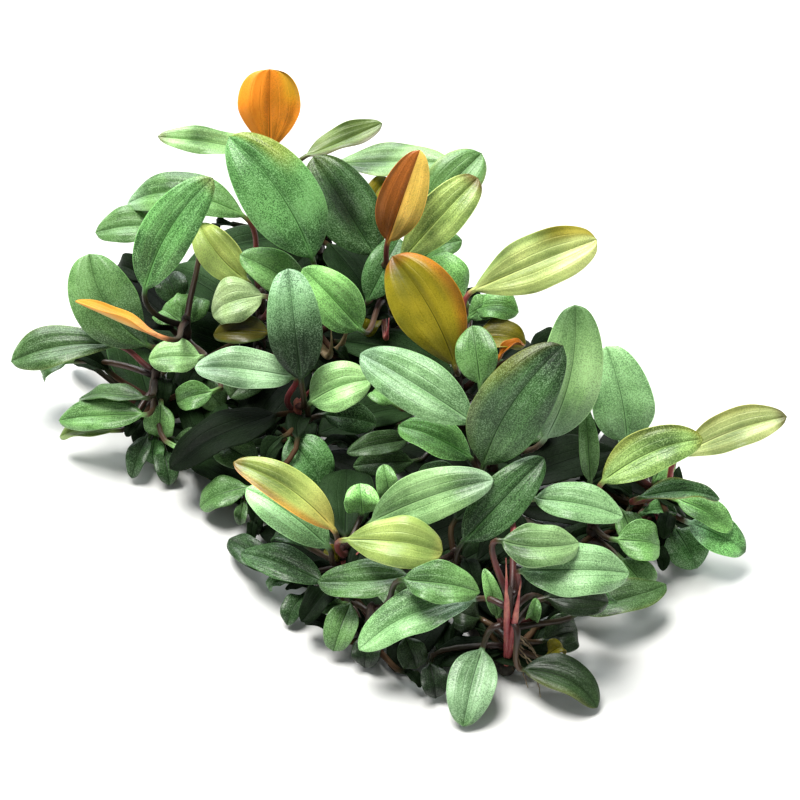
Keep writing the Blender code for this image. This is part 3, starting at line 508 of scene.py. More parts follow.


# Some marks paint light and shade: those in the near-black colour, and dark ones at a base or on one half,
# are painted shade, and the pale frost marks are partly painted sheen and highlight.
OWN_SHAPES = dict(
    north_orange=shape(0.0, roll_left=-0.6, roll_right=1.0, ripples=1.2, tip="notched", light=1.6,
        marks="right tip olive 0.6, base copper 0.35"),
    north_pale=shape(1.5, twist=-35, roll_right=-0.8, wave=0.8, light=1.08, marks="far tip brown 0.7"),
    north_folded=shape(0.5, twist=50, roll_left=0.3, roll_right=0.5, wave=0.6, light=0.6,
        marks="all green 0.5, right rim brown 0.8"),
    north_back=shape(twist=15, wave=0.6, light=0.72, marks="rim lime 0.3"),
    north_east_side=shape(1.2, roll_right=-0.9, light=0.78, marks="rim lime 0.3"),
    north_east_copper=shape(0.5, roll_left=0.4, roll_right=-0.3, light=1.26,
        marks="right gold 0.9, base rust 0.4"),
    north_east_pale=shape(1.5, roll_left=0.5, roll_right=-0.6, wave=0.4, light=1.84, tip="blunt",
        marks="all lime 0.7, tip brown 0.5, far tip brown 0.9"),
    north_east_dark=shape(0.5, roll_right=0.9, light=0.56, marks="tip olive 0.3, middle deep 0.85"),
    north_east_hidden=shape(light=2.09),
    mid_north_large=shape(2.0, roll_right=-1.1, wave=0.6, ripples=1.4, light=1.87,
        marks="right tip olive 0.5"),
    mid_north_grey=shape(light=1.12),
    east_centre_lime=shape(roll_left=0.4, wave=0.9, ripples=2.4, light=1.2, tip="blunt",
        marks="all cream 0.2, left rim green 0.4, left tip olive 0.9, far tip brown 0.2"),
    east_centre_olive=shape(0.6, roll_right=-0.7, wave=0.3,
        marks="far tip rust 0.6, right rim rust 0.6, base deep 0.6"),
    centre_large=shape(1.5, roll_left=-1.4, wave=0.6, ripples=1.4, light=0.64,
        marks="left tip olive 0.45, left rim olive 0.4, tip deep 0.4, base green 0.8"),
    centre_frosted=shape(1.0, roll_left=-0.4, roll_right=-0.6, light=0.85, tip="blunt",
        marks="tip dark 0.6, base frost 0.5"),
    centre_left=shape(1.0, roll_left=-0.7, roll_right=-0.6, wave=0.4, light=0.85,
        marks="all frost 0.15, tip frost 0.4"),
    centre_front=shape(1.5, light=2.42, marks="base dark 0.6"),
    east_frosted=shape(tip="blunt", light=1.38, marks="all frost 0.15, base dark 0.4"),
    north_west_upright=shape(roll_right=-0.7, light=2.18, marks="far tip brown 0.5"),
    north_west_broad=shape(1.0, tip="blunt", light=0.85, marks="right dark 0.3, lower deep 0.4"),
    north_west_back=shape(1.2, twist=-20, wave=0.8, light=0.7),
    north_west_pale=shape(1.0, wave=0.6, light=1.1),
    north_west_orange=shape(0.3, roll_left=0.6, roll_right=0.6, wave=0.3, light=1.4,
        marks="all gold 0.4, middle cream 0.3, base pink 0.6"),
    inner_west_lime=shape(0.6, roll_right=0.5, wave=0.4, light=0.99, marks="left green 0.3"),
    inner_west_curled=shape(2.2, roll_left=-1.0, roll_right=-0.8, wave=0.9, light=0.79,
        marks="all cream 0.35"),
    inner_west_arched=shape(1.0, twist=-15, wave=0.6, marks="tip frost 0.35"),
    inner_west_olive=shape(light=0.35, marks="rim green 0.6"),
    south_west_dark=shape(tip="blunt", light=1.54, marks="all frost 0.1, tip frost 0.2, lower deep 0.9"),
    south_west_left=shape(1.2, wave=0.8, light=0.89, marks="all frost 0.35, tip frost 0.4"),
    south_west_right=shape(light=1.26),
    south_west_round=shape(0.6, light=1.10, tip="blunt"),
    west_outer=shape(twist=-12, roll_left=-0.6, wave=0.7, light=0.5, marks="rim lime 0.3"),
    west_front=shape(0.6, twist=-12, roll_left=-1.2, light=1.02),
    west_rolled=shape(light=0.8, marks="all green 0.4"),
    front_west_pale=shape(0.5, roll_left=0.4, roll_right=-0.7, wave=0.4, light=1.05,
        marks="left rim orange 0.6, base orange 0.3, far tip rust 0.5"),
    front_west_lime=shape(3.5, roll_left=-0.9, roll_right=-0.9, wave=0.6, ripples=2.2, light=0.85,
        tip="blunt", marks="all green 0.3, far tip gold 0.3"),
    front_west_right=shape(1.6, light=0.77, marks="tip frost 0.5"),
    front_west_long=shape(light=1.43, marks="all frost 0.15, base dark 0.4"),
    front_west_low=shape(0.6, light=0.59),
    front_west_dark=shape(0.6, light=0.35),
    front_low=shape(1.0, roll_left=-0.4, roll_right=0.9, wave=0.4, light=0.16, marks="right rim lime 0.8"),
    front_tip=shape(1.4, roll_right=-0.6, wave=0.4, light=0.86, marks="all frost 0.25, far tip green 0.6"),
    front_long=shape(1.6, roll_right=-0.6, wave=0.7, ripples=2.2, light=1.21,
        marks="all frost 0.1, base frost 0.6"),
    front_low_right=shape(2.2, wave=1.0, ripples=2.2, tip="narrow", light=0.78, marks="base dark 0.5"),
    front_right=shape(1.2, roll_left=-0.8, roll_right=-0.8, wave=1.0, ripples=2.2, marks="all frost 0.15"),
    front_pale=shape(1.2, roll_left=-0.6, roll_right=-0.9, wave=1.2, ripples=1.7, light=0.60),
    front_back=shape(1.6, marks="all frost 0.12"),
    front_east=shape(light=0.39, wave=0.7, marks="rim lime 0.4"),
    middle_right=shape(light=0.64, marks="left rim green 0.3"),
    middle_left=shape(twist=-15, wave=0.6, light=0.65),
    inner_east_long=shape(1.0, roll_left=0.5, light=1.25,
        marks="all lime 0.35, left rim olive 0.5, far tip olive 0.5"),
    east_low=shape(light=2.50, marks="base frost 0.5, far tip deep 0.8"),
    east_level=shape(0.6, wave=0.6, light=0.90, marks="rim olive 0.5"),
    east_lime=shape(0.6, roll_left=0.5, wave=0.6, ripples=2.4, light=0.96,
        marks="all cream 0.35, left rim olive 0.5, far tip brown 0.8"),
)
# light factors of low leaves, most below 1: painted shade of the clump's inside
DIM_LEAVES = dict(
    west_low=0.35, west_shaded=0.3, far_west_small=0.5, front_low_side=0.15, front_shaded=0.10,
    front_low_under=0.10, front_west_back=0.4, south_west_low=0.72, east_centre_dark=0.45, east_dark=0.98,
    north_west_dark=0.24, north_west_low=1.12, front_under=0.11, front_low_olive=0.6, far_west_low=0.9)
SHAPES = {"leaf_" + name: look for name, look in OWN_SHAPES.items()}
SHAPES.update({"leaf_" + name: shape(wave=0.6, ripples=2.0, light=light)
               for name, light in DIM_LEAVES.items()})
SHAPES["blade_b"] = shape(light=0.6)
PLAIN = shape()
print("leaves with a shape of their own:", len(SHAPES))

# %% [markdown]
# ## The form of a blade
# A real blade is about 0.4 mm thick, and thinner at its margin. Its midrib is a groove above and a
# ridge below, and it runs without a break into a round stalk. So the whole leaf is one loft: rings of
# points that are round along the stalk, then flatten and widen into the blade, and close at the tip.
# One loft gives a closed body with no seam where the stalk meets the blade.

# %% Where a leaf joins its stem
STEM_FOOT_RADIUS = 3.0
STEM_TOP_RADIUS = 2.0
LOWEST_ATTACHMENT = 0.35
HIGHEST_ATTACHMENT = 0.96


def attachment(row):
    """Where a leaf meets its stem and how thick the stem is there."""
    if row.share is None:
        siblings = [other.name for other in MEASURED_LEAVES if other.crown == row.crown]
        step = siblings.index(row.name) / max(len(siblings) - 1, 1)
        share = LOWEST_ATTACHMENT + (HIGHEST_ATTACHMENT - LOWEST_ATTACHMENT) * step
    else:
        share = row.share
    foot, top = stem_axis(row.crown)
    return foot + (top - foot) * share, STEM_FOOT_RADIUS + (STEM_TOP_RADIUS - STEM_FOOT_RADIUS) * share


print(LEAVES[0].name, "joins its stem at", np.round(attachment(LEAVES[0])[0], 1), "mm")

# %% The curves of stalk and midrib, in mm
STALK_RADIUS = 0.85
CLEARANCE = 0.4
STALK_RISE = 0.9
SMALL_STALK_RISE = 0.3
STALK_GRIP = 0.35


def placed(place):
    """A place in mm, from mm or from a column, a row and a height in the picture."""
    return place if isinstance(place, np.ndarray) else in_plan(*place)


def leaf_curves(row):
    """The curves of the stalk and the midrib, and the direction across the blade."""
    base, tip = placed(row.base), placed(row.tip)
    lean = math.radians(row.lean)
    across = unit(np.cross(unit(tip - base), np.array((0.0, -math.sin(lean), math.cos(lean)))))
    normal = np.cross(across, unit(tip - base))
    bulge = (normal * row.arch + across * row.bend) * 4 / 3
    third = (tip - base) / 3
    midrib = (base, base + third + bulge, tip - third + bulge, tip)
    joint, radius = attachment(row)
    outward = unit((base - joint) * LEVEL)
    start = joint if row.fused else joint + outward * (radius + STALK_RADIUS + CLEARANCE)
    if row.fused:
        leaving = unit(unit(base - start) + UPWARD * SMALL_STALK_RISE)
    else:
        leaving = unit(outward + UPWARD * STALK_RISE)
    grip = np.linalg.norm(base - start) * STALK_GRIP
    stalk = (start, start + leaving * grip, base - unit(midrib[1] - midrib[0]) * grip, base)
    return stalk, midrib, across, joint


print(LEAVES[0].name, "ends at", np.round(leaf_curves(LEAVES[0])[1][3], 1), "mm")

# %% [markdown]
# Across its midrib a blade is never flat. The halves fold up, puff between the midrib and the margin,
# crease along the veins, roll at the margin and ripple. A formula for one station gives all of this,
# and costs nothing when a single leaf needs more of one and less of another.

# %% One station of a blade
BASE_FULLNESS = 0.72
TIP_FULLNESS = {"plain": 0.48, "blunt": 0.38, "notched": 0.34, "narrow": 0.62}
POINT_START = 0.992
POINT_FADE = 0.94
POINT_HALF_WIDTH = 0.25
LEAST_HALF_WIDTH = 0.1
ROLL_START = 0.6
LEAST_ROLL = 0.05
FOLD = 1.6
PUFF = 0.09
PUFFS = 1.3
CREASE = 0.042
CREASES = 2.5
WAVE_RISE = 2.2
SIDE_LAG = 1.9


def half_widths(row, look, t):
    """Half of the blade's width at the shares t of its length: a wedge, a round end and a small point."""
    power = math.log(0.5) / math.log(row.wide)
    swell = np.sin(math.pi * np.clip(t / POINT_START, 0.0, 1.0) ** power)
    towards_tip = ease(t, row.wide - 0.2, row.wide + 0.2)
    fullness = BASE_FULLNESS + (TIP_FULLNESS[look.tip] - BASE_FULLNESS) * towards_tip
    point = POINT_HALF_WIDTH * (1 - ease(t, POINT_FADE, 1.0))
    return np.maximum(row.width / 2 * np.clip(swell, 0.0, 1.0) ** fullness, point + LEAST_HALF_WIDTH)


def section(half, share, row, look, phase, columns):
    """Offsets sideways and upwards, in mm, of the middle of the blade at one station, left to right."""
    side = np.concatenate([columns[::-1], -columns[1:]])
    reach = np.abs(side)
    fullness = half / (row.width / 2)
    rolled = np.where(side > 0, look.roll_left, look.roll_right) * ease(share, 0.05, 0.45)
    rolled = np.where(np.abs(rolled) < LEAST_ROLL, LEAST_ROLL, rolled)
    rim = np.clip(reach - ROLL_START, 0.0, None) * half
    radius = (1 - ROLL_START) * half / rolled
    turn = rim / radius
    x = np.sign(side) * (np.minimum(reach, ROLL_START) * half + radius * np.sin(turn))
    z = radius * (1 - np.cos(turn))
    z = z + FOLD * row.cup * fullness ** 2 * (0.6 * reach + 0.4 * reach ** 2 - 0.25)
    arc = half * np.sin(math.pi * reach)
    z = z + PUFF * arc * (1 + 0.5 * np.sin(math.tau * PUFFS * share + phase))
    z = z - CREASE * arc * np.cos(math.tau * reach * CREASES) * ease(share, 0.0, 0.2)
    beat = np.sin(math.tau * look.ripples * share + phase + SIDE_LAG * np.sign(side))
    z = z + look.wave * fullness * reach ** WAVE_RISE * beat
    return side, x, z


print("widest half:", np.round(half_widths(LEAVES[0], PLAIN, np.linspace(0, 1, 50)).max(), 1), "mm")

# %% [markdown]
# A ring is round on the stalk. On the blade it runs over the upper face and back under the lower one,
# with the groove of the midrib above and its ridge below. Large leaves get more rings and points than
# small ones, because only they are seen from near.

# %% A whole leaf as one loft
SHEATH_SWELL = 0.35
FOOT_THICKNESS = 1.9
MID_THICKNESS = 0.55
MARGIN_THICKNESS = 0.16
GROOVE_DEPTH = 0.22
GROOVE_HALF_WIDTH = 0.5
RIB_RELIEF = 1.6
LOWEST_POINT = 0.1
Grid = namedtuple("Grid", "stalk_rings stations columns")
FINE = Grid(stalk_rings=10, stations=40,
            columns=(0.0, 0.05, 0.13, 0.25, 0.38, 0.51, 0.63, 0.74, 0.84, 0.92, 0.98, 1.0))
SMALL = Grid(stalk_rings=7, stations=20, columns=(0.0, 0.12, 0.33, 0.55, 0.75, 0.92, 1.0))


def leaf_mesh(row, look, grid, rng):
    """Points of the loft, with each point's millimetres and its place on the leaf.

    A blade that would reach into the ground is lifted from its base on.
    """
    stalk, midrib, across, joint = leaf_curves(row)
    columns = np.array(grid.columns)
    wide = 2 * len(columns) - 1
    phase = rng.uniform(0, math.tau)
    length = np.linalg.norm(midrib[3] - midrib[0])
    reach = np.linalg.norm(stalk[3] - stalk[0])
    points, flat, spots = [], [], []

    share = np.linspace(0.0, 1.0, grid.stalk_rings)[:-1]
    places, along = bezier(stalk, share)
    inside = (joint - stalk[0]) * 0.8
    angles = (np.arange(2 * wide) + 0.5) / (2 * wide) * math.tau
    circle = np.column_stack([np.cos(angles), np.sin(angles)])
    for s, place, run in zip(share, places, along):
        left = -unit(across - run * across.dot(run))
        up = np.cross(run, left)
        radius = STALK_RADIUS * (1 + SHEATH_SWELL * (1 - s) ** 3)
        points.append(place + inside * (1 - s) ** 6 + radius * (circle @ np.array((left, up))))
        flat.append(np.column_stack([radius * circle[:, 0], np.full(2 * wide, (s - 1) * reach)]))
        spots.append(np.column_stack([circle[:, 0], np.full(2 * wide, s - 1), angles > math.pi]))

    even = np.linspace(0.0, 1.0, grid.stations)
    share = 0.5 * even + 0.25 * (1 - np.cos(math.pi * even))
    places, along = bezier(midrib, share)
    halves = half_widths(row, look, share)
    halves = np.maximum(halves, STALK_RADIUS * (1 - ease(share, 0.0, 0.12)))
    foot_thickness = STALK_RADIUS * FOOT_THICKNESS
    thick = foot_thickness + (MID_THICKNESS - foot_thickness) * ease(share, -0.02, 0.14)
    for t, place, run, half, body in zip(share, places, along, halves, thick):
        left = -unit(across - run * across.dot(run))
        up = np.cross(run, left)
        turn = math.radians(look.twist) * t
        left, up = left * math.cos(turn) + up * math.sin(turn), up * math.cos(turn) - left * math.sin(turn)
        side, x, z = section(half, t, row, look, phase, columns)
        tangent = unit(np.column_stack([np.gradient(x), np.gradient(z)]))
        outwards = np.column_stack([tangent[:, 1], -tangent[:, 0]])
        depth = MARGIN_THICKNESS + (body - MARGIN_THICKNESS) * (1 - np.abs(side) ** 1.5)
        groove = GROOVE_DEPTH * np.exp(-(x / GROOVE_HALF_WIDTH) ** 2) * ease(t, 0.0, 0.1) * (1 - 0.7 * t)
        groove = np.column_stack([np.zeros(wide), groove])
        middle = np.column_stack([x, z - look.droop * ease(t, 0.55, 1.0) ** 1.5])
        upper = middle + outwards * (depth / 2)[:, None] - groove
        lower = middle - outwards * (depth / 2)[:, None] - groove * RIB_RELIEF
        points.append(place + np.concatenate([upper, lower[::-1]]) @ np.array((left, up)))
        sides = np.concatenate([side, side[::-1]])
        flat.append(np.column_stack([sides * half, np.full(2 * wide, t * length)]))
        spots.append(np.column_stack([sides, np.full(2 * wide, t), np.repeat((0.0, 1.0), wide)]))
    points = np.array(points)
    sunk = max(LOWEST_POINT - points[..., 2].min(), 0.0)
    points[..., 2] += sunk * ease(np.arange(len(points)) / grid.stalk_rings, 0.0, 1.0)[:, None]
    return points, np.concatenate(flat), np.concatenate(spots)


def ring_quads(rings):
    """The numbers of the points, ring by ring, and the four-sided faces between the rings."""
    count, around = rings.shape[:2]
    index = np.arange(count * around).reshape(count, around)
    after = np.roll(index, -1, axis=1)
    return index, np.stack([index[:-1], after[:-1], after[1:], index[1:]], axis=-1).reshape(-1, 4).tolist()


def loft(name, rings):
    """A closed mesh through rings of equal count, with flat caps, facing outwards."""
    index, quads = ring_quads(rings)
    faces = quads + [index[0, ::-1].tolist(), index[-1].tolist()]
    mesh = bpy.data.meshes.new(name)
    mesh.from_pydata((rings.reshape(-1, 3) * MM).tolist(), [], faces)
    mesh.polygons.foreach_set("use_smooth", [True] * len(mesh.polygons))
    return mesh


print("rings of a fine leaf:", FINE.stalk_rings - 1 + FINE.stations)

# %% [markdown]
# ## Colour on the blade
# The stains and gradients of a leaf follow its own shape: a tip, a rim, one half. They are written
# to the mesh as a colour for each point, mixed from a few named colours. The fine pattern of veins
# and speckles is left to the material, because it is finer than the mesh.

# %% Colours and marks
COLOURS = {
    # the near-black green below is painted shade, for leaves inside the clump and shaded parts of blades
    "deep": (0.007, 0.017, 0.005),
    "dark": (0.066, 0.185, 0.045),
    "green": (0.130, 0.305, 0.076),
    "pale": (0.260, 0.490, 0.165),
    # the pale blue-green below, used as a mark, is partly frost and partly painted sheen and highlight
    "frost": (0.470, 0.720, 0.480),
    "lime": (0.380, 0.490, 0.110),
    "cream": (0.620, 0.700, 0.340),
    "olive": (0.200, 0.180, 0.006),
    "gold": (0.560, 0.400, 0.070),
    "orange": (0.600, 0.205, 0.014),
    "copper": (0.260, 0.085, 0.012),
    "rust": (0.330, 0.080, 0.006),
    "brown": (0.080, 0.055, 0.012),
    "pink": (0.500, 0.200, 0.110),
    # the maroon below darkens the foot of each stalk next to its stem: painted shade
    "painted_shade_maroon": (0.030, 0.009, 0.008),
    "crimson": (0.190, 0.035, 0.033),
    # dark brown of stalks that are not red: partly their own colour, partly painted shade of the clump's
    # inside
    "stalk": (0.050, 0.030, 0.014),
}
RED_STALKS = {
    "north_east_copper", "east_centre_lime", "east_lime", "inner_west_curled", "south_west_left",
    "front_right", "front_pale", "front_back", "north_orange", "inner_west_arched", "west_outer",
    "inner_east_long", "east_level", "front_west_lime", "blade_j", "blade_k"}
LIGHTEST = 0.72


def region(where, spots):
    """How much each point belongs to a named part of the blade, from 0 to 1."""
    side, along = spots[:, 0], spots[:, 1]
    margin = np.abs(side)
    parts = {
        "all": np.ones(len(spots)),
        "tip": ease(along, 0.7, 1.0),
        "far tip": ease(along, 0.86, 0.98),
        "base": 1 - ease(along, 0.0, 0.4),
        "lower": 1 - ease(along, 0.3, 0.8),
        "left": ease(side, -0.05, 0.1),
        "right": ease(-side, -0.05, 0.1),
        "rim": ease(margin, 0.75, 1.0),
        "left rim": ease(side, 0.45, 0.9),
        "right rim": ease(-side, 0.45, 0.9),
        "middle": (1 - ease(margin, 0.1, 0.7)) * ease(along, 0.1, 0.4) * (1 - ease(along, 0.6, 0.9)),
        "left tip": ease(side, 0.25, 0.65) * ease(along, 0.5, 0.75),
        "right tip": ease(-side, 0.25, 0.65) * ease(along, 0.5, 0.75),
    }
    return parts[where]


def tones(row, look, spots, rng):
    """A colour for each point of a leaf: blade with its marks, then the stalk's reds."""
    own = np.array(COLOURS[row.tint]) * rng.uniform(0.92, 1.08)
    colour = np.tile(own, (len(spots), 1))
    for where, name, strength in look.marks:
        share = (region(where, spots) * strength)[:, None]
        colour = colour * (1 - share) + np.array(COLOURS[name]) * share
    # the light factor scales the colour: partly the blade's own tone, partly painted light and shade
    colour = colour * look.light
    colour = colour * np.minimum(LIGHTEST / colour.max(axis=1, keepdims=True), 1.0)
    red = COLOURS["crimson" if row.name.removeprefix("leaf_") in RED_STALKS else "stalk"]
    red = np.array(red) * rng.uniform(0.7, 1.2)
    stalk = 1 - ease(spots[:, 1], -0.14, 0.05)
    # the foot of the stalk turns maroon: painted shade next to the stem
    low = 1 - ease(spots[:, 1], -1.0, -0.4)
    stalk_colour = red[None] * (1 - low[:, None]) + np.array(COLOURS["painted_shade_maroon"])[None] * low[:, None]
    return colour * (1 - stalk[:, None]) + stalk_colour * stalk[:, None]


print("colours:", len(COLOURS))

# %% [markdown]
# A leaf that has no shape of its own gets one by chance, within the range of the others. Only how
# light it is was compared with the picture, because that shows even where the outline is hidden.

# %% Looks left to chance
# light factors that paint light and shade: hidden whorl leaves are lifted, leaves under the front darkened
CHANCE_LIGHTS = dict(
    east_curved=2.2, east_centre_back=1.7, front_west_inner=1.6, east_centre_blue=1.6,
    inner_east_small=1.3, centre_grey=1.2, front_low_small=0.6, inner_east_twisted=0.6, west_grey=0.55,
    east_centre_curl=0.35, shade_front_right=0.15, shade_front_left=0.12, shade_inner_west_whorl_0=5.0,
    shade_inner_west_whorl_1=5.0, shade_north_whorl_0=4.0, shade_north_whorl_1=2.5,
    shade_mid_north_whorl_0=4.0, shade_west_whorl_0=4.0, shade_north_west_whorl_0=2.5,
    shade_far_west_whorl_0=2.0, shade_south_west_whorl_0=2.0, shade_front_west_whorl_0=2.0,
    shade_north_west=0.9)
# hidden leaves are darkened by this factor: painted shade
SHADE_LIGHT = 0.45


def chance_shape(row, rng):
    """A shape for a leaf that has none of its own; most of the hidden ones are darker, as painted shade."""
    usual = SHADE_LIGHT if row.name.startswith("leaf_shade") else 1.0
    return shape(
        droop=rng.uniform(0.4, 2.4), twist=rng.uniform(-14.0, 14.0), roll_left=rng.uniform(-1.0, 0.3),
        roll_right=rng.uniform(-1.0, 0.3), wave=rng.uniform(0.3, 0.8), ripples=rng.uniform(1.2, 2.6),
        tip=rng.choice(("plain", "plain", "blunt")),
        light=rng.uniform(0.75, 1.15) * CHANCE_LIGHTS.get(row.name.removeprefix("leaf_"), usual))


def build_leaf(row, grid, rng):
    """A leaf's mesh with its millimetres as a UV map, and its spots and tones as attributes."""
    look = SHAPES[row.name] if row.name in SHAPES else chance_shape(row, rng)
    rings, flat, spots = leaf_mesh(row, look, grid, rng)
    mesh = loft(row.name, rings)
    corners = np.empty(len(mesh.loops), np.int32)
    mesh.loops.foreach_get("vertex_index", corners)
    mesh.uv_layers.new(name="leaf_mm").data.foreach_set("uv", flat[corners].astype(np.float32).ravel())
    spot = mesh.attributes.new("leaf_spot", "FLOAT_VECTOR", "POINT")
    spot.data.foreach_set("vector", spots.astype(np.float32).ravel())
    tone = mesh.attributes.new("leaf_tone", "FLOAT_COLOR", "POINT")
    solid = np.column_stack([tones(row, look, spots, rng), np.ones(len(spots))])
    tone.data.foreach_set("color", solid.astype(np.float32).ravel())
    return mesh


print("leaves with a light of their own:", len(CHANCE_LIGHTS))

# %% [markdown]
# ## The skin of a leaf
# Seen close, an old blade is dark and covered with fine pale points, with faint veins that leave the
# midrib at a slant and run to the margin. Young blades are smoother and glossier. One group of nodes
# draws all of this from two things that the mesh carries: millimetres along and across the blade, and
# the place from margin to margin and from base to tip. Every leaf material uses it with its own values.

# %% Node helpers
def new_group(name, inputs, outputs):
    """An empty node group with named sockets."""
    group = bpy.data.node_groups.new(name, "ShaderNodeTree")
    for label, kind, value in inputs:
        socket = group.interface.new_socket(label, in_out="INPUT", socket_type=kind)
        if value is not None:
            socket.default_value = value
    for label, kind in outputs:
        group.interface.new_socket(label, in_out="OUTPUT", socket_type=kind)
    return group, group.nodes.new("NodeGroupInput"), group.nodes.new("NodeGroupOutput")


class Wiring:
    """Short ways to add math, ramps, mixes and noise to a node tree."""

    def __init__(self, tree):
        self.tree = tree

    def node(self, kind, settings=None, **inputs):
        """A new node with these settings and inputs."""
        made = self.tree.nodes.new(kind)
        for key, value in (settings or {}).items():
            setattr(made, key, value)
        for key, value in inputs.items():
            self.put(made.inputs[key.replace("_", " ")], value)
        return made

    def put(self, socket, value):
        """Link a socket to this one, or set its value."""
        if isinstance(value, bpy.types.NodeSocket):
            self.tree.links.new(value, socket)
        else:
            socket.default_value = value

    def math(self, operation, a, b=0.0):
        made = self.tree.nodes.new("ShaderNodeMath")
        made.operation = operation
        self.put(made.inputs[0], a)
        self.put(made.inputs[1], b)
        return made.outputs[0]

    def times(self, first, *others):
        """The product of values and sockets."""
        for other in others:
            first = self.math("MULTIPLY", first, other)
        return first

    def ramp(self, value, low, high, start=0.0, end=1.0):
        """start below low, end above high, with an even curve between."""
        made = self.tree.nodes.new("ShaderNodeMapRange")
        made.interpolation_type = "SMOOTHSTEP"
        for socket, given in zip(made.inputs, (value, low, high, start, end)):
            self.put(socket, given)
        return made.outputs[0]

    def mix(self, share, a, b, blend="MIX"):
        made = self.tree.nodes.new("ShaderNodeMix")
        made.data_type = "RGBA"
        made.blend_type = blend
        self.put(made.inputs[0], share)
        self.put(made.inputs[6], a)
        self.put(made.inputs[7], b)
        return made.outputs[2]

    def noise(self, vector, scale, detail=2.0, roughness=0.5):
        made = self.node("ShaderNodeTexNoise", Scale=scale, Detail=detail, Roughness=roughness)
        self.put(made.inputs["Vector"], vector)
        return made.outputs[0]


# %% Masks of the leaf skin
VEIN_SPACING = 2.4
VEIN_SLANT = 1.1
LONG_VEINS = (0.30, 0.60)
BAND_HALF_WIDTH = (0.75, 0.2)
LINE_HALF_WIDTH = (0.2, 0.07)
SIDES_LAG = 0.55
leaf_skin, skin_in, skin_out = new_group("leaf skin", [
    ("Millimetres", "NodeSocketVector", None), ("Spot", "NodeSocketVector", None),
    ("Tone", "NodeSocketColor", None), ("Veins", "NodeSocketFloat", 0.3),
    ("Frost", "NodeSocketFloat", 0.5), ("Stipple", "NodeSocketFloat", 0.5),
    ("Mottle", "NodeSocketFloat", 0.3), ("Roughness", "NodeSocketFloat", 0.4)],
    [("Color", "NodeSocketColor"), ("Roughness", "NodeSocketFloat"), ("Height", "NodeSocketFloat")])
given = skin_in.outputs
wire = Wiring(leaf_skin)
flat = wire.node("ShaderNodeSeparateXYZ", Vector=given["Millimetres"])
spot = wire.node("ShaderNodeSeparateXYZ", Vector=given["Spot"])
across_mm = wire.math("ABSOLUTE", flat.outputs[0])
margin = wire.math("ABSOLUTE", spot.outputs[0])
along = spot.outputs[1]
blade = wire.ramp(along, 0.0, 0.05)
under = spot.outputs[2]
above = wire.math("SUBTRACT", 1.0, under)
place = wire.node("ShaderNodeNewGeometry").outputs["Position"]
patches = wire.noise(place, 150.0, 3.0, 0.6)
clouds = wire.noise(place, 55.0, 2.0)
cloud_shift = wire.math("SUBTRACT", clouds, 0.5)
grain = wire.noise(place, 2700.0, 1.0, 0.5)

# the midrib is a dark line in a pale band, and both narrow towards the tip; the dark line is partly
# painted shade of its groove
past_band = wire.math("SUBTRACT", across_mm, wire.ramp(along, 0.0, 1.0, *BAND_HALF_WIDTH))
past_line = wire.math("SUBTRACT", across_mm, wire.ramp(along, 0.0, 1.0, *LINE_HALF_WIDTH))
band = wire.times(wire.ramp(past_band, -0.3, 0.25, 1.0, 0.0), blade)
line = wire.times(wire.ramp(past_line, -0.1, 0.12, 1.0, 0.0), blade)

# two long veins on each side run with the margin, and fade at both ends
bent = wire.math("ADD", margin, wire.times(cloud_shift, 0.12))
long_vein = None
for share in LONG_VEINS:
    gap = wire.math("ABSOLUTE", wire.math("SUBTRACT", bent, share))
    stripe = wire.ramp(gap, 0.004, 0.03, 1.0, 0.0)
    long_vein = stripe if long_vein is None else wire.math("MAXIMUM", long_vein, stripe)
long_vein = wire.times(long_vein, wire.ramp(along, 0.05, 0.25), wire.ramp(along, 0.96, 0.75))

# faint side veins climb from the midrib to the margin
climb = wire.math("ADD", wire.times(across_mm, VEIN_SLANT), wire.times(across_mm, across_mm, 0.06))
phase = wire.math("SUBTRACT", wire.math("ADD", flat.outputs[1], wire.times(cloud_shift, 5.0)), climb)
phase = wire.math("ADD", phase, wire.times(wire.math("SIGN", flat.outputs[0]), SIDES_LAG))
wave = wire.math("PINGPONG", wire.math("DIVIDE", phase, VEIN_SPACING), 0.5)
side_vein = wire.times(wire.ramp(wave, 0.0, 0.16, 1.0, 0.0), blade)
quilt = wire.times(wire.ramp(wave, 0.0, 0.5), blade)

# dark and pale points, denser in some patches than in others; dark leaves have fewer pale ones
dense = wire.ramp(patches, 0.35, 0.65)
green_share = wire.node("ShaderNodeSeparateColor", Color=given["Tone"]).outputs[1]
dots = wire.times(wire.ramp(grain, 0.56, 0.36), wire.ramp(dense, 0.0, 1.0, 1.0, 0.5),
                  given["Stipple"], above, blade)
# pale points: the skin's own speckles, partly a painted sparkle of sheen
frost = wire.times(wire.ramp(grain, 0.48, 0.66), wire.ramp(dense, 0.0, 1.0, 0.4, 1.0),
                   given["Frost"], above, blade, wire.ramp(green_share, 0.01, 0.14, 0.3, 1.0))
print("nodes for the masks:", len(leaf_skin.nodes))

# %% [markdown]
# Each stain is a product of masks and a strength, and moves the tone towards a goal. Most goals are
# the tone itself made lighter or darker, so that an orange blade gets orange veins and a green one
# green veins. The order matters: the midrib and the margin are drawn last, over the points.

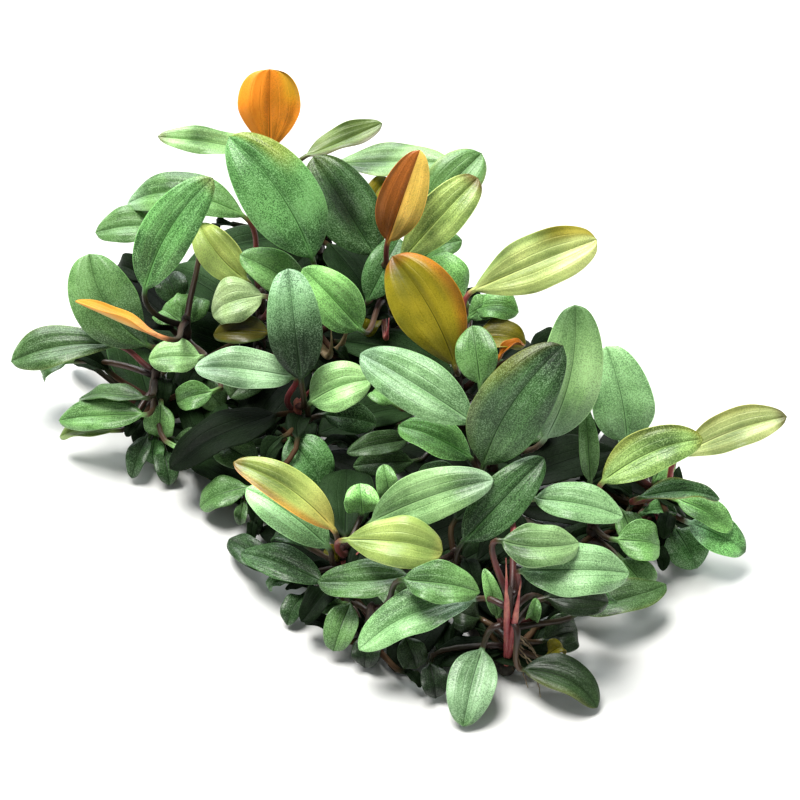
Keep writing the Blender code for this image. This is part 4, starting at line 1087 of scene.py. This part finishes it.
# %% Stains and relief of the leaf skin
tone, mottle = given["Tone"], given["Mottle"]
lighter = wire.mix(1.0, tone, (2.0, 1.75, 2.1, 1.0), "MULTIPLY")
darker = wire.mix(1.0, tone, (0.22, 0.28, 0.24, 1.0), "MULTIPLY")
pale_point = wire.mix(0.28, lighter, (0.45, 0.62, 0.42, 1.0))
red_back = wire.mix(1.0, tone, (0.75, 0.62, 0.60, 1.0), "MULTIPLY")
dry_tip = (0.02, 0.012, 0.006, 1.0)
STAINS = (
    ((wire.ramp(clouds, 0.45, 0.66), mottle), lighter),
    ((wire.ramp(clouds, 0.50, 0.30), mottle), darker),
    # darker along the fold at the midrib: painted shade
    ((wire.ramp(margin, 0.30, 0.0), blade, mottle, 0.4), darker),
    # lighter on the crest of each half: painted highlight
    ((wire.ramp(margin, 0.25, 0.6), wire.ramp(margin, 0.95, 0.65), blade, mottle, 0.22), lighter),
    # darker towards the base: painted shade of the leaves above
    ((wire.ramp(along, 0.42, 0.02), blade, 0.5), darker),
    ((side_vein, given["Veins"], 0.35), lighter),
    ((long_vein, given["Veins"]), lighter),
    ((dots,), darker),
    ((frost,), pale_point),
    ((band, 0.4), lighter),
    # dark midrib line: partly its own colour, partly painted shade in its groove
    ((line, 0.9), darker),
    # bright rim at the margin: partly a pale edge, partly painted highlight of light through the thin edge
    ((wire.ramp(margin, 0.955, 0.985), blade, 0.85), lighter),
    ((wire.ramp(along, 0.99, 0.999), 0.4), dry_tip),
    ((under, blade, 0.5), red_back))
colour = tone
for masks, goal in STAINS:
    colour = wire.mix(wire.times(*masks), colour, goal)
wire.put(skin_out.inputs["Color"], colour)

dull = given["Roughness"]
for mask, share in ((wire.math("SUBTRACT", patches, 0.5), 0.25), (dots, 0.1), (under, 0.12)):
    dull = wire.math("ADD", dull, wire.times(mask, share))
wire.put(skin_out.inputs["Roughness"], dull)

height = wire.times(quilt, 0.08)
for mask, depth in ((long_vein, -0.5), (grain, 0.30), (patches, 0.9), (line, -0.6)):
    height = wire.math("ADD", height, wire.times(mask, depth))
wire.put(skin_out.inputs["Height"], height)
print("stains on a blade:", len(STAINS))

# %% [markdown]
# A finish is one material for all leaves of an age. Old leaves are frosted and speckled under a satin
# wax, young ones are clean and glossy, and the few in deep shade have no gloss at all and a near-black
# tone, which is painted shade.

# %% Leaf finishes
Finish = namedtuple("Finish", "veins frost stipple mottle roughness relief gloss")
FINISH_VALUES = {
    # the finish of leaves painted near black as shade, with next to no gloss
    "deep": Finish(0.30, 0.12, 0.60, 0.90, 0.55, 1.00, 0.06),
    "dark": Finish(0.15, 0.95, 0.85, 1.00, 0.36, 1.00, 0.38),
    "green": Finish(0.15, 0.70, 0.66, 0.95, 0.37, 1.00, 0.45),
    "pale": Finish(0.20, 0.38, 0.52, 0.90, 0.36, 0.90, 0.45),
    "lime": Finish(0.25, 0.10, 0.35, 0.70, 0.36, 0.70, 0.45),
    "olive": Finish(0.20, 0.05, 0.35, 0.90, 0.36, 0.70, 0.35),
    "orange": Finish(0.25, 0.00, 0.25, 0.70, 0.38, 0.70, 0.30),
    "copper": Finish(0.25, 0.02, 0.30, 0.70, 0.38, 0.70, 0.35),
}
LEAF_RELIEF = 0.2


def new_material(name):
    """A material with nodes, its Principled shader and a Wiring for its tree."""
    material = bpy.data.materials.new(name)
    material.use_nodes = True
    return material, material.node_tree.nodes["Principled BSDF"], Wiring(material.node_tree)


def leaf_material(name, finish):
    """A leaf finish: the skin group with its own values, and a Bump from its height."""
    material, shader, wire = new_material(name)
    skin = wire.node("ShaderNodeGroup", {"node_tree": leaf_skin}, Veins=finish.veins, Frost=finish.frost,
                     Stipple=finish.stipple, Mottle=finish.mottle, Roughness=finish.roughness)
    flat = wire.node("ShaderNodeUVMap", {"uv_map": "leaf_mm"})
    spot = wire.node("ShaderNodeAttribute", {"attribute_name": "leaf_spot"})
    tone = wire.node("ShaderNodeAttribute", {"attribute_name": "leaf_tone"})
    wire.put(skin.inputs["Millimetres"], flat.outputs["UV"])
    wire.put(skin.inputs["Spot"], spot.outputs["Vector"])
    wire.put(skin.inputs["Tone"], tone.outputs["Color"])
    bump = wire.node("ShaderNodeBump", Strength=finish.relief, Distance=LEAF_RELIEF * MM,
                     Height=skin.outputs["Height"])
    shader.inputs["Specular IOR Level"].default_value = finish.gloss
    wire.put(shader.inputs["Base Color"], skin.outputs["Color"])
    wire.put(shader.inputs["Roughness"], skin.outputs["Roughness"])
    wire.put(shader.inputs["Normal"], bump.outputs["Normal"])
    return material


FINISHES = {name: leaf_material("leaf_" + name, finish) for name, finish in FINISH_VALUES.items()}
print("leaf finishes:", sorted(FINISHES))

# %% [markdown]
# ## Growing the leaves
# The solids' leaves come first, each in place of its own node. A small one that shares a node with its
# stem replaces nothing here: the rhizome further down takes the place of that whole node.

# %% Leaves in place of their solids
rng = np.random.default_rng(11)


def add_piece(name, mesh, finish):
    """Put a mesh in the scene as a piece that rides the plant's one body."""
    mesh.materials.append(finish)
    piece = bpy.data.objects.new(name, mesh)
    bpy.context.scene.collection.objects.link(piece)
    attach(piece, "root")
    return piece


faces = 0
for row in LEAVES:
    grid = SMALL if row.fused else FINE
    piece = add_piece(row.name + "_blade", build_leaf(row, grid, rng), FINISHES[row.tint])
    faces += len(piece.data.polygons)
    if not row.fused:
        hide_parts(row.name)
for row in BETWEEN:
    piece = add_piece(row.name, build_leaf(row, SMALL, rng), FINISHES[row.tint])
    faces += len(piece.data.polygons)
print("leaves:", len(LEAVES) + len(BETWEEN), "faces:", faces)

# %% [markdown]
# ## Leaves in the shade
# Under the leaves that the picture shows clearly there are many more: dark, small and half hidden.
# Their near-black tint is painted shade for the inside of the clump.
# Together they close the clump, so that no ground shows inside it. To place them by hand would be
# slow, so the script does what the plant does. It looks for a spot where the ground still shows,
# picks a stem at a leaf's distance, and grows a leaf from that stem towards the light there. The new
# leaf is kept only if it touches no other blade and hides next to nothing of the leaves in the table.

# %% Edge of the clump in the picture
CLUMP_EDGE = (
    (235, 132), (300, 152), (345, 152), (420, 152), (476, 162), (468, 200), (455, 235), (474, 288),
    (512, 302), (530, 338), (560, 315), (598, 345), (633, 385), (643, 428), (668, 457), (697, 485),
    (730, 520), (738, 552), (690, 560), (655, 576), (640, 602), (600, 620), (566, 612), (562, 650),
    (545, 672), (500, 663), (440, 686), (415, 688), (370, 660), (325, 633), (287, 616), (243, 552),
    (236, 536), (252, 515), (207, 498), (205, 480), (160, 476), (134, 468), (132, 445), (82, 430),
    (76, 408), (118, 375), (62, 365), (78, 330), (82, 272), (122, 236), (150, 202), (208, 186),
    (240, 215), (234, 160))
EYE = VIEW_AIM - LOOKING * VIEW_DISTANCE


def in_picture(points):
    """Columns and rows at which the picture shows points given in mm."""
    offset = points - EYE
    scale = VIEW_DISTANCE * VIEW_PIXELS / VIEW_WIDTH / (offset @ LOOKING)
    columns = VIEW_PIXELS / 2 + offset[..., 0] * scale
    rows = VIEW_PIXELS / 2 - offset @ PICTURE_UP * scale
    return np.stack([columns, rows], -1)


def inside(places, edge):
    """Which places lie inside a closed edge, by the number of sides that a line to the right crosses."""
    ends = np.asarray(edge, float)
    starts = np.roll(ends, 1, axis=0)
    column, row = places[..., 0, None], places[..., 1, None]
    crosses = (starts[:, 1] > row) != (ends[:, 1] > row)
    rise = np.where(ends[:, 1] == starts[:, 1], 1.0, ends[:, 1] - starts[:, 1])
    at = starts[:, 0] + (row - starts[:, 1]) / rise * (ends[:, 0] - starts[:, 0])
    return (crosses & (column < at)).sum(-1) % 2 == 1


def tree_of(rings):
    """A search tree for a loft's surface, in mm."""
    return BVHTree.FromPolygons(rings.reshape(-1, 3).tolist(), ring_quads(rings)[1])


print("corners on the clump's edge:", len(CLUMP_EDGE))

# %% Spots in the clump, and a leaf for one of them
SPOT_STEP = 7.0
ANY_HEIGHT_CHANCE = 0.6
ANY_HEIGHTS = (3.0, 22.0)
LOW_HEIGHTS = (2.8, 8.0)
STEM_GAP = 16.0
SHADE_LENGTHS = (7.0, 22.0)
steps = np.arange(0.0, VIEW_PIXELS, SPOT_STEP)
spots = np.stack(np.meshgrid(steps, steps), -1).reshape(-1, 2)
spots = spots[inside(spots, CLUMP_EDGE)]
sights = [Vector(unit(in_plan(*spot, 0.0) - EYE)) for spot in spots]


def seen_open(trees, which):
    """The spots of which that no tree covers, as seen from the camera."""
    return [k for k in which if all(tree.ray_cast(Vector(EYE), sights[k])[0] is None for tree in trees)]


def shade_row(name, spot, rng):
    """A leaf across this spot of the picture at some height, from the stem that suits it best."""
    height = rng.uniform(*(ANY_HEIGHTS if rng.uniform() < ANY_HEIGHT_CHANCE else LOW_HEIGHTS))
    middle = in_plan(*spot, height)

    def misfit(crown):
        gap = np.linalg.norm((middle - stem_axis(crown)[1])[:2])
        return abs(gap - STEM_GAP) + rng.uniform(0, 6)

    crown = min(CROWNS, key=misfit)
    foot, top = stem_axis(crown)
    share = np.clip((height - rng.uniform(1.0, 9.0)) / top[2], 0.1, 0.9)
    joint = foot + (top - foot) * share
    turn = rng.normal(0.0, 0.35)
    outward = unit((middle - joint) * LEVEL)
    outward = np.array((
        outward[0] * math.cos(turn) - outward[1] * math.sin(turn),
        outward[0] * math.sin(turn) + outward[1] * math.cos(turn), rng.uniform(-0.45, 0.25)))
    length = rng.uniform(*SHADE_LENGTHS)
    chord = unit(outward) * length
    # a leaf in the near-black tint, which is painted shade
    return Leaf(
        name, crown, base=middle - chord * 0.45, tip=middle + chord * 0.55,
        width=length * rng.uniform(0.42, 0.56), arch=rng.uniform(1.0, 3.0), bend=rng.normal(0, 0.8),
        lean=rng.uniform(-8.0, 30.0), cup=rng.uniform(0.3, 1.6), wide=0.46, tint="deep", fused=True,
        share=share)


print("spots in the clump:", len(spots))

# %% [markdown]
# A try has to pass every test: a stalk of fair length, a blade above the ground and inside the box and
# the edge, no touch with another blade, and next to nothing hidden. Tests on a coarse mesh are quick,
# so most tries may fail. The random numbers are seeded, so that each run grows the same plant.

# %% Grow leaves where the ground still shows
SHADE_LEAVES = 240
SHADE_TRIES = 4500
STALK_REACH = (3.0, 30.0)
LEAST_HEIGHT = 1.8
LEAST_INSIDE = 0.94
MOST_HIDING = 0.16
COARSE = Grid(stalk_rings=5, stations=9, columns=(0.0, 0.5, 1.0))
SHADE_LEAF = Grid(stalk_rings=6, stations=15, columns=(0.0, 0.15, 0.42, 0.7, 0.92, 1.0))


def coarse_rings(row, look):
    """A leaf as a few rings, good enough to test what it touches or hides."""
    return leaf_mesh(row, look, COARSE, np.random.default_rng(1))[0]


box_low = np.array(frame_box[0]) / MM + 1.0
box_high = np.array(frame_box[1]) / MM - 1.0
named = [tree_of(coarse_rings(row, SHAPES.get(row.name, PLAIN))[COARSE.stalk_rings - 1:])
         for row in LEAVES + BETWEEN]
open_spots = seen_open(named, range(len(spots)))
print("open before:", len(open_spots))
shade_rows, shade_trees = [], []
for attempt in range(SHADE_TRIES):
    if len(shade_rows) >= SHADE_LEAVES or not open_spots:
        break
    spot = spots[open_spots[rng.integers(len(open_spots))]]
    row = shade_row("shade_%03d" % len(shade_rows), spot, rng)
    reach = np.linalg.norm(row.base - attachment(row)[0])
    if not STALK_REACH[0] < reach < STALK_REACH[1] or min(row.base[2], row.tip[2]) < LEAST_HEIGHT:
        continue
    rings = coarse_rings(row, PLAIN)[COARSE.stalk_rings:]
    blade = rings.reshape(-1, 3)
    if not ((blade > box_low) & (blade < box_high)).all():
        continue
    if inside(in_picture(blade), CLUMP_EDGE).mean() < LEAST_INSIDE:
        continue
    tree = tree_of(rings)
    if any(tree.overlap(other) for other in named + shade_trees):
        continue
    hides = sum(any(other.ray_cast(Vector(p + LOOKING * 0.5), Vector(LOOKING))[0] for other in named)
                for p in blade[::3])
    if hides > MOST_HIDING * len(blade[::3]):
        continue
    shade_rows.append(row)
    shade_trees.append(tree)
    open_spots = seen_open([tree], open_spots)
print("leaves in the shade:", len(shade_rows), "tries:", attempt + 1, "open after:", len(open_spots))

for row in shade_rows:
    mesh = build_leaf(row, SHADE_LEAF, rng)
    faces += len(mesh.polygons)
    add_piece(row.name, mesh, FINISHES[row.tint])
print("faces now:", faces)

# %% [markdown]
# ## Stems and rhizomes
# The rhizome is a fleshy runner with a ring at each old leaf. The stem is thinner, wrapped in the
# feet of the leaf stalks. Both are lofts with a radius that swells at every ring, which costs less
# than a ring of its own for each old leaf. The rhizome is cut flat at the ground.

# %% Tubes for stems and rhizomes
RHIZOME_RADIUS = 3.3
RHIZOME_TIP_RADIUS = 2.1
RHIZOME_AXIS_HEIGHT = 2.0
RHIZOME_OVERHANG = 2.4
RHIZOME_STOP = 4.6
TUBE_POINTS = 20
RING_SPACING = 4.5


def tube(name, points, radii, flat_below):
    """A closed round member through points, cut level with the ground if flat_below."""
    points = np.asarray(points, float)
    run = unit(np.gradient(points, axis=0))
    angles = np.arange(TUBE_POINTS) / TUBE_POINTS * math.tau
    rings = []
    for place, along, radius in zip(points, run, radii):
        helper = SIDEWAYS if abs(along[2]) > 0.7 else UPWARD
        left = unit(np.cross(helper, along))
        up = np.cross(along, left)
        rings.append(place + radius * (np.outer(np.cos(angles), left) + np.outer(np.sin(angles), up)))
    rings = np.array(rings)
    if flat_below:
        rings[..., 2] = np.maximum(rings[..., 2], 0.0)
    return loft(name, rings)


def ringed(lengths, radii, swell, rng):
    """Radii that swell at each old leaf's ring."""
    beat = np.abs(np.sin(math.pi * (lengths / RING_SPACING + rng.uniform()))) ** 6
    return radii * (1 + swell * beat)


def smooth_path(corners, step, rng, sway):
    """Points every step mm along the corners, rounded and slightly wandering."""
    corners = np.asarray(corners, float)
    spans = np.linalg.norm(np.diff(corners, axis=0), axis=1)
    at = np.concatenate([[0.0], np.cumsum(spans)])
    count = max(int(at[-1] / step), 4)
    lengths = np.linspace(0.0, at[-1], count)
    path = np.column_stack([np.interp(lengths, at, corners[:, k]) for k in range(3)])
    wander = sway * np.sin(lengths / at[-1] * math.pi) * np.sin(lengths / 7.0 + rng.uniform(0, math.tau))
    path[:, 0] += wander * 0.7
    path[:, 1] += wander * 0.7
    return path, lengths


def creeping_corners(crowns, parent):
    """The corners of a rhizome's axis: past its stems, and on to its parent's stem if it has one."""
    feet = [stem_axis(crown)[0] for crown in crowns]
    run = unit(feet[0] - (feet[1] if len(feet) > 1 else stem_axis(parent)[0]))
    corners = [feet[0] + run * RHIZOME_OVERHANG] + feet
    if parent:
        goal = stem_axis(parent)[0]
        corners.append(goal - unit(goal - feet[-1]) * RHIZOME_STOP)
    else:
        corners.append(feet[-1] + unit(feet[-1] - feet[-2]) * RHIZOME_OVERHANG)
    return [corner * LEVEL + UPWARD * RHIZOME_AXIS_HEIGHT for corner in corners]


print("rhizome_west has", len(creeping_corners(*RHIZOMES["rhizome_west"])), "corners")

# %% [markdown]
# The bark has a ground colour with broad patches of a second one, dark grime in its pits and thin
# pale streaks along the stem. Rhizomes and old stems are nearly black, partly their own colour and
# partly painted shade of the clump's inside; young stems are red, and roots tan.

# %% Bark finishes
bark, bark_in, bark_out = new_group("bark", [
    ("Ground", "NodeSocketColor", (0.06, 0.03, 0.02, 1.0)),
    ("Streak", "NodeSocketColor", (0.2, 0.06, 0.05, 1.0)), ("Grime", "NodeSocketFloat", 0.6)],
    [("Color", "NodeSocketColor"), ("Height", "NodeSocketFloat")])
wire = Wiring(bark)
place = wire.node("ShaderNodeNewGeometry").outputs["Position"]
rough = wire.noise(place, 900.0, 4.0, 0.65)
broad = wire.noise(place, 160.0, 3.0)
stretched = wire.node("ShaderNodeVectorMath", {"operation": "MULTIPLY"})
wire.put(stretched.inputs[0], place)
stretched.inputs[1].default_value = (1.0, 1.0, 0.15)
streaks = wire.noise(stretched.outputs[0], 1300.0, 2.0)
colour = wire.mix(wire.ramp(broad, 0.38, 0.62), bark_in.outputs["Ground"], bark_in.outputs["Streak"])
grime = wire.times(wire.ramp(rough, 0.55, 0.35), bark_in.outputs["Grime"])
colour = wire.mix(grime, colour, (0.015, 0.01, 0.008, 1.0))
colour = wire.mix(wire.ramp(streaks, 0.58, 0.72, 0.0, 0.25), colour, (0.25, 0.16, 0.09, 1.0))
wire.put(bark_out.inputs["Color"], colour)
wire.put(bark_out.inputs["Height"], wire.math("ADD", rough, streaks))


def bark_material(name, ground, streak, roughness, grime=0.6):
    """A bark finish: the bark group with its own colours, and a Bump from its height."""
    material, shader, wire = new_material(name)
    skin = wire.node("ShaderNodeGroup", {"node_tree": bark}, Ground=(*ground, 1.0), Streak=(*streak, 1.0),
                     Grime=grime)
    bump = wire.node("ShaderNodeBump", Strength=0.6, Distance=BARK_RELIEF * MM,
                     Height=skin.outputs["Height"])
    wire.put(shader.inputs["Base Color"], skin.outputs["Color"])
    wire.put(shader.inputs["Normal"], bump.outputs["Normal"])
    shader.inputs["Roughness"].default_value = roughness
    return material


BARK_RELIEF = 0.3
# nearly black rhizomes and old stems: partly their own colour, partly painted shade
rhizome_finish = bark_material("rhizome_bark", (0.014, 0.013, 0.006), (0.030, 0.022, 0.010), 0.7)
stem_finish = bark_material("stem_bark", (0.018, 0.012, 0.007), (0.045, 0.018, 0.012), 0.6)
young_finish = bark_material("young_bark", (0.330, 0.055, 0.065), (0.560, 0.200, 0.140), 0.4, 0.2)
tan_finish = bark_material("tan_bark", (0.24, 0.17, 0.08), (0.42, 0.30, 0.16), 0.5, 0.3)
root_finish = bark_material("root_bark", (0.24, 0.17, 0.10), (0.42, 0.32, 0.20), 0.7)
print("bark finishes:", 5)

# %% Rhizomes in place of their solids, and their stems
STEM_RADII = (2.2, 1.3)
STEM_WIDTH = {"front": 0.6, "south_west": 0.8, "east": 0.8}
YOUNG_STEMS = ("east", "south_west")
RHIZOME_SWELL = 0.09
STEM_SWELL = 0.14
for name, (crowns, parent) in RHIZOMES.items():
    path, lengths = smooth_path(creeping_corners(crowns, parent), 1.0, rng, 0.0)
    ends = np.minimum(lengths, lengths[-1] - lengths)
    radii = RHIZOME_TIP_RADIUS + (RHIZOME_RADIUS - RHIZOME_TIP_RADIUS) * ease(ends, 0.0, 5.0)
    radii[[0, -1]] *= 0.55
    mesh = tube(name + "_runner", path, ringed(lengths, radii, RHIZOME_SWELL, rng), True)
    runner = add_piece(name + "_runner", mesh, rhizome_finish)
    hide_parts(name)
    for crown in crowns:
        foot, top = stem_axis(crown)
        path, lengths = smooth_path([foot + UPWARD, top + UPWARD * 1.5], 0.8, rng, 0.4)
        share = lengths / lengths[-1]
        radii = STEM_WIDTH.get(crown, 1.0) * (STEM_RADII[0] - (STEM_RADII[0] - STEM_RADII[1]) * share)
        radii[-2:] *= (0.75, 0.35)
        mesh = tube("stem_" + crown, path, ringed(lengths, radii, STEM_SWELL, rng), False)
        add_piece("stem_" + crown, mesh, young_finish if crown in YOUNG_STEMS else stem_finish)
print("stems:", len(CROWNS))

# %% [markdown]
# ## Shoots and roots
# Some crowns carry a young leaf that is still rolled up: a thin spike, tan or red. Pale roots as thin as
# wire grow from the front stem down to the ground. Both are tubes that taper to a point.

# %% Shoots and roots
Shoot = namedtuple("Shoot", "crown share middle tip radius finish")
SHOOTS = {
    "spike_mid_north_left": Shoot("mid_north", 0.30, (329, 356, 16), (331, 328, 28), 1.1, tan_finish),
    "spike_mid_north_right": Shoot("mid_north", 0.35, (337, 350, 16), (350, 313, 32), 1.2, tan_finish),
    "spike_north_east": Shoot("north_east", 0.45, (386, 338, 18), (389, 318, 26), 0.9, young_finish),
    "spike_south_west": Shoot("south_west", 0.80, (301, 402, 20), (315, 384, 29), 0.9, young_finish),
    "spike_front_west": Shoot("front_west", 0.75, (346, 563, 14), (359, 552, 20), 1.1, young_finish),
    "spike_front_tall": Shoot("front", 0.06, (507, 618, 26), (506, 558, 45), 0.95, young_finish),
    "spike_front_side": Shoot("front", 0.08, (514, 626, 23), (521, 580, 38), 1.0, young_finish),
    "twig_east": Shoot("east", 0.35, (663, 530, 8), (673, 541, 5), 0.6, young_finish),
    "spike_east": Shoot("east", 0.70, (662, 470, 24), (676, 455, 31), 0.9, young_finish),
}
SHOOT_STEP = 0.9
ROOT_STEP = 1.0
ROOTS = 14
ROOT_RADIUS = 0.28


def shoot_path(start, middle, tip, step):
    """Points along a smooth curve from start through the middle to the tip."""
    bend = middle * 2 - (start + tip) / 2
    count = max(int((np.linalg.norm(middle - start) + np.linalg.norm(tip - middle)) / step), 6)
    corners = (start, start + (bend - start) * 2 / 3, tip + (bend - tip) * 2 / 3, tip)
    return bezier(corners, np.linspace(0, 1, count))[0]


for name, shoot in SHOOTS.items():
    foot, top = stem_axis(shoot.crown)
    start = foot + (top - foot) * shoot.share
    path = shoot_path(start, in_plan(*shoot.middle), in_plan(*shoot.tip), SHOOT_STEP)
    share = np.linspace(0.0, 1.0, len(path))
    radii = shoot.radius * (1 - 0.85 * ease(share, 0.5, 1.0))
    add_piece(name, tube(name, path, radii, False), shoot.finish)

foot, top = stem_axis("front")
for index in range(ROOTS):
    start = foot + (top - foot) * rng.uniform(0.15, 0.55)
    bearing = math.radians(rng.uniform(40.0, 140.0))
    reach = rng.uniform(7.0, 17.0)
    end = start * LEVEL + heading(bearing) * reach + UPWARD * 0.4
    middle = (start + end) / 2 + UPWARD * rng.uniform(0.5, 4.0) + rng.normal(0, 1.2, 3) * LEVEL
    path = shoot_path(start, middle, end, ROOT_STEP)
    path[1:-1] += rng.normal(0, 0.12, (len(path) - 2, 3))
    path[:, 2] = np.maximum(path[:, 2], ROOT_RADIUS)
    radii = ROOT_RADIUS * (1 - 0.5 * np.linspace(0.0, 1.0, len(path)))
    name = "root_%02d" % index
    add_piece(name, tube(name, path, radii, False), root_finish)
print("shoots:", len(SHOOTS), "roots:", ROOTS)
